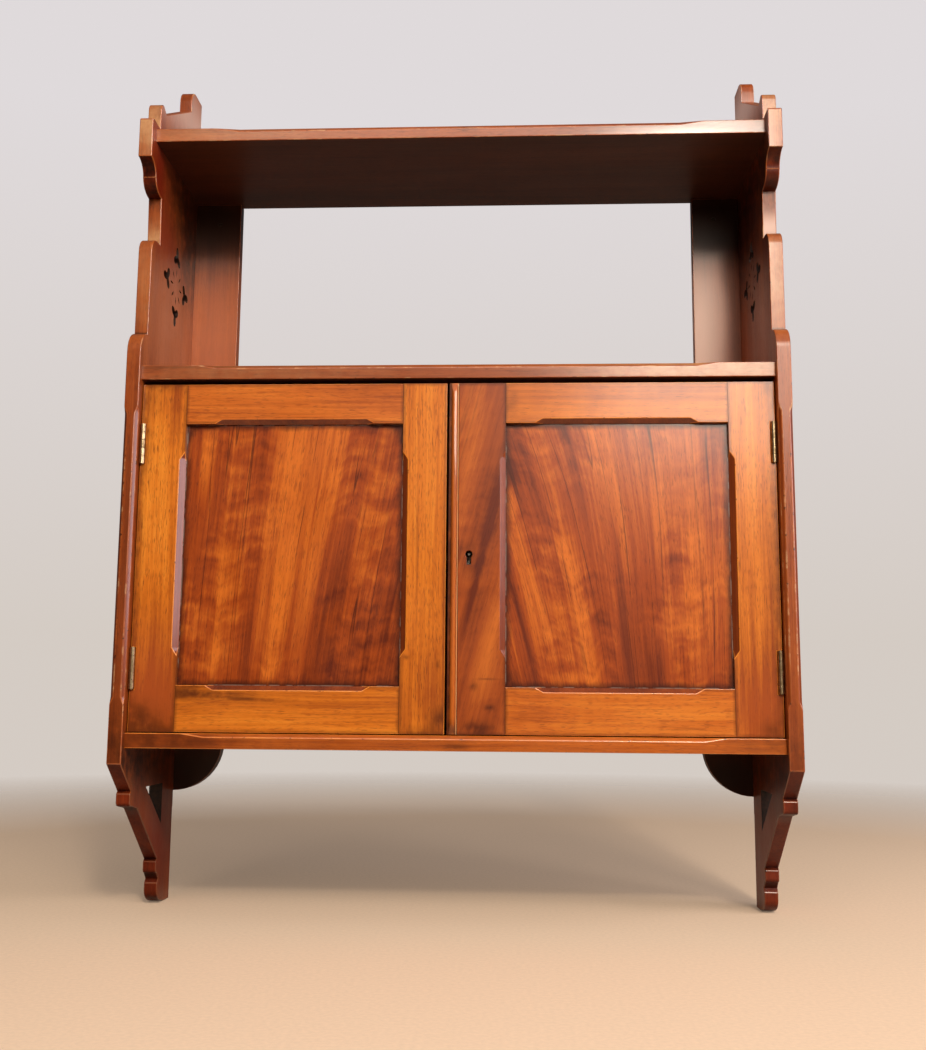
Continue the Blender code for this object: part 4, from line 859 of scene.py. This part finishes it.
fixings = {"leafScrew": (0.0019, 0.00013, 0.0004), "leafRows": (-0.013, 0.0, 0.013), "leafMiddle": -0.1697,
           "leafFaces": {"side": 0.3095, "door": 0.3091}, "leafTilts": (25, 80, -40), "inset": 0.0035,
           "lockScrew": (0.0021, 0.0004, 0.0004), "lockTilts": (15, 60, -30, 80),
           "strikeScrew": (0.0017, 0.0001, 0.0003), "strikeTilts": (20, 75)}


def makeHingeScrews():
    for side, sign in (("left", -1), ("right", 1)):
        for leaf, turned in (("side", -sign), ("door", sign)):
            seats = []
            for level in ("upper", "lower"):
                node = "_".join((side, level, "hinge", leaf, "leaf"))
                low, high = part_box(node)
                seats += [((sign * fixings["leafFaces"][leaf], fixings["leafMiddle"], (low.z + high.z) / 2 + row),
                           (turned, 0, 0), tilt) for row, tilt in zip(fixings["leafRows"], fixings["leafTilts"])]
            makeScrews("_".join((side, leaf, "hinge_screws")), seats, fixings["leafScrew"], brass,
                       bodyOf[node])


def makeSmallScrews():
    inset = fixings["inset"]
    low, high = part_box("lock_case")
    corners = [(x, z) for z in (high.z - inset, low.z + inset) for x in (low.x + inset, high.x - inset)]
    seats = [((x, high.y, z), (0, 1, 0), tilt) for (x, z), tilt in zip(corners, fixings["lockTilts"])]
    makeScrews("lock_case_screws", seats, fixings["lockScrew"], iron, bodyOf["lock_case"])
    low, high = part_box("lock_strike")
    ends = zip((low.z + inset, high.z - inset), fixings["strikeTilts"])
    seats = [((high.x, (low.y + high.y) / 2, z), (1, 0, 0), tilt) for z, tilt in ends]
    makeScrews("lock_strike_screws", seats, fixings["strikeScrew"], brass,
               bodyOf["lock_strike"])
    places = [(sign * wallScrews["across"], wallScrews["seat"], z) for z in wallScrews["rows"] for sign in (-1, 1)]
    seats = [(place, (0, -1, 0), tilt) for place, tilt in zip(places, wallScrews["tilts"])]
    makeScrews("wall_screws", seats, wallScrews["size"], rusty, "carcass")


drillPin = {"radius": 0.0012, "nose": 0.003, "root": 0.006, "middle": (0.01505, 0.001), "tip": 0.06, "rows": 7,
            "columns": 20}


def makeDrillPin():  # the lock's pin behind the keyhole, a rod turned about its axis with a quarter-circle nose
    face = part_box("lock_case")[0].y
    radius, (middleX, middleZ) = drillPin["radius"], drillPin["middle"]
    swing = np.linspace(drillPin["tip"], math.pi / 2, drillPin["rows"])
    turn = np.linspace(0, math.tau, drillPin["columns"], endpoint=False)
    reach = radius * np.append(np.sin(swing), 1.0)
    depth = np.append(face + drillPin["nose"] - radius * np.cos(swing), face + drillPin["root"])
    grid = np.stack(np.broadcast_arrays(middleX + reach[:, None] * np.cos(turn), depth[:, None],
                                        middleZ + reach[:, None] * np.sin(turn)), -1)
    mesh = tubeMesh("lock_drill_pin", grid[None])
    dressPiece("lock_drill_pin", mesh, [iron], bodyOf["lock_case"])


surfaced = tuple(node for node in cadNodes if node == "right_door_bead" or node.endswith("hinge_pin"))
for node in cadNodes:
    if node not in surfaced:
        easedPiece(node)
print("eased pieces:", len(cadNodes) - len(surfaced))
makeBead()
makeHingePins()
makeHingeScrews()
makeSmallScrews()
makeDrillPin()
print("surfaced pieces done")


# Floor and backdrop
stage = {"floorColour": (0.77, 0.57, 0.41), "floorReach": (0.9, 2.2), "floorGap": 0.0004, "floorLift": 0.2,
         "floorBounce": 0.4, "floorGrid": (24, 96), "tuft": 260.0, "tuftSpan": (0.3, 0.7), "tuftShade": 0.93,
         "floorRough": 0.9, "floorGloss": 0.1, "upper": (0.74, 0.7, 0.71), "lower": (0.66, 0.6, 0.55),
         "horizon": (0.05, 0.45), "ambient": (-0.3, 0.5, 0.04, 0.13), "mirrored": (-0.4, 0.5, 0.05, 0.1)}


def makeFloor():  # a disc as a polar grid, faded out towards its rim
    rings, spokes = stage["floorGrid"]
    radius, turn = np.meshgrid(np.linspace(0.0, stage["floorReach"][1], rings + 1)[1:],
                               np.linspace(0, math.tau, spokes + 1)[:-1], indexing="ij")
    points = np.stack([radius * np.cos(turn), radius * np.sin(turn), np.zeros_like(radius)], -1).reshape(-1, 3)
    points = np.vstack([points, np.zeros((1, 3))])
    points[:, 2] = cadBox[0].z - stage["floorGap"]
    index = np.arange(rings * spokes).reshape(rings, spokes)
    after = np.roll(index, -1, axis=1)
    quads = np.stack([index[:-1], index[1:], after[1:], after[:-1]], -1).reshape(-1, 4)
    hub = np.stack([np.full(spokes, rings * spokes), index[0], after[0]], -1)
    mesh = bpy.data.meshes.new("floor")
    mesh.from_pydata(points, [], quads.tolist() + hub.tolist())
    floor = bpy.data.objects.new("floor", mesh)
    scene.collection.objects.link(floor)
    material, tree, shader = newMaterial("pale_floor")
    where = placeOnPiece(tree)
    tufts = span(tree, cloud(tree, where, stage["tuft"], 3.0), *stage["tuftSpan"])
    floorColour = stage["floorColour"]
    colour = blendColour(tree, tufts, tuple(stage["tuftShade"] * c for c in floorColour), floorColour)
    path = tree.nodes.new("ShaderNodeLightPath").outputs
    dimmed = tuple(stage["floorBounce"] * c for c in floorColour)
    feed(tree, shader, {
        "Base Color": blendColour(tree, path["Is Diffuse Ray"], colour, dimmed), "Emission Color": colour,
        "Emission Strength": times(tree, path["Is Camera Ray"], stage["floorLift"]),
        "Roughness": stage["floorRough"], "Specular IOR Level": stage["floorGloss"]})
    away = put(tree, "ShaderNodeVectorMath", {0: stretched(tree, where, (1.0, 1.0, 0.0))}, out=1, operation="LENGTH")
    clear = put(tree, "ShaderNodeBsdfTransparent", {})
    faded = span(tree, away, *stage["floorReach"])
    mixed = put(tree, "ShaderNodeMixShader", {0: faded, 1: shader.outputs[0], 2: clear})
    tree.links.new(mixed, tree.nodes["Material Output"].inputs["Surface"])
    mesh.materials.append(material)


def makeBackdrop():  # pale gradient for the camera and for reflections, dim ambient light for the rest
    world = bpy.data.worlds.new("backdrop")
    scene.world = world
    world.use_nodes = True
    tree = world.node_tree
    tree.nodes.clear()
    axes = axesOf(tree, put(tree, "ShaderNodeTexCoord", {}, out="Generated"))
    colour = blendColour(tree, span(tree, axes[2], *stage["horizon"]), stage["lower"], stage["upper"])
    path = tree.nodes.new("ShaderNodeLightPath").outputs
    gloss = calc(tree, "MAXIMUM", path["Is Glossy Ray"], path["Is Transmission Ray"])
    room = span(tree, axes[1], *stage["mirrored"])
    dim = span(tree, axes[2], *stage["ambient"])
    strength = put(tree, "ShaderNodeMix", {0: gloss, 2: dim, 3: room})
    strength = calc(tree, "MAXIMUM", strength, path["Is Camera Ray"])
    surface = put(tree, "ShaderNodeBackground", {"Color": colour, "Strength": strength})
    tree.links.new(surface, tree.nodes.new("ShaderNodeOutputWorld").inputs["Surface"])


lamps = {  # place, aim, size, power in watts, colour and spread in degrees
    "window": ((0.7, -2.5, 1.22), (0.45, -0.1, 0.15), (0.75, 1.3), 36.0, (1.0, 0.91, 0.78), 180),
    "bulb": ((0.58, -2.5, 1.42), (0.2, -0.1, 0.2), (0.2, 0.2), 22.0, (1.0, 0.9, 0.76), 180),
    "left_glow": ((-0.35, -2.5, 1.85), (-0.2, -0.1, 0.2), (1.2, 0.9), 15.0, (1.0, 0.92, 0.8), 180),
    "right_fill": ((1.9, -1.9, 1.35), (-0.1, -0.1, 0.1), (0.9, 0.9), 18.0, (1.0, 0.94, 0.88), 180),
    "side_window": ((2.05, -0.58, 0.52), (-0.25, -0.2, 0.0), (0.85, 1.05), 15.0, (0.95, 0.9, 0.97), 180),
    "ceiling": ((0.1, -1.2, 2.2), (0.0, -0.5, 0.0), (1.6, 1.6), 6.0, (1.0, 0.98, 0.96), 180),
    "left_finial_glow": ((0.95, 0.1, 1.15), (-0.311, -0.07, 0.5), (0.3, 0.3), 0.18, (1.0, 0.93, 0.9), 24),
    "right_finial_glow": ((-0.95, 0.1, 1.15), (0.311, -0.07, 0.5), (0.3, 0.3), 0.27, (0.97, 0.95, 0.95), 24),
}


def makeLamps():
    for name, (place, aim, size, power, colour, spread) in lamps.items():
        data = bpy.data.lights.new(name, "AREA")
        data.shape = "RECTANGLE"
        data.size, data.size_y = size
        data.energy = power
        data.spread = math.radians(spread)
        data.color = colour
        light = bpy.data.objects.new(name, data)
        light.location = place
        light.rotation_euler = (Vector(aim) - Vector(place)).to_track_quat("-Z", "Z").to_euler()
        scene.collection.objects.link(light)


view = {"place": (0.0645, -1.2986, -0.1353), "yaw": -2.82, "pitch": 8.338, "roll": 0.446, "focal": 1176.2,
        "imageHeight": 1050.0, "sensor": 36.0}


def makeCamera():  # looks along (sin yaw cos pitch, cos yaw cos pitch, sin pitch), then rolls about that line
    yaw, pitch, roll = (math.radians(view[key]) for key in ("yaw", "pitch", "roll"))
    ahead = Vector((math.sin(yaw) * math.cos(pitch), math.cos(yaw) * math.cos(pitch), math.sin(pitch)))
    right = Vector((math.cos(yaw), -math.sin(yaw), 0.0))
    up = right.cross(ahead)
    rolledRight = right * math.cos(roll) + up * math.sin(roll)
    rolledUp = up * math.cos(roll) - right * math.sin(roll)
    data = bpy.data.cameras.new("camera")
    data.sensor_fit = "VERTICAL"
    data.sensor_height = view["sensor"]
    data.lens = view["focal"] * data.sensor_height / view["imageHeight"]
    camera = bpy.data.objects.new("camera", data)
    turn = Matrix((rolledRight, rolledUp, -ahead)).transposed()
    camera.matrix_world = Matrix.Translation(view["place"]) @ turn.to_4x4()
    scene.collection.objects.link(camera)
    scene.camera = camera


makeFloor()
makeBackdrop()
makeLamps()
makeCamera()
scene.view_settings.view_transform = "Standard"
print("stage set")
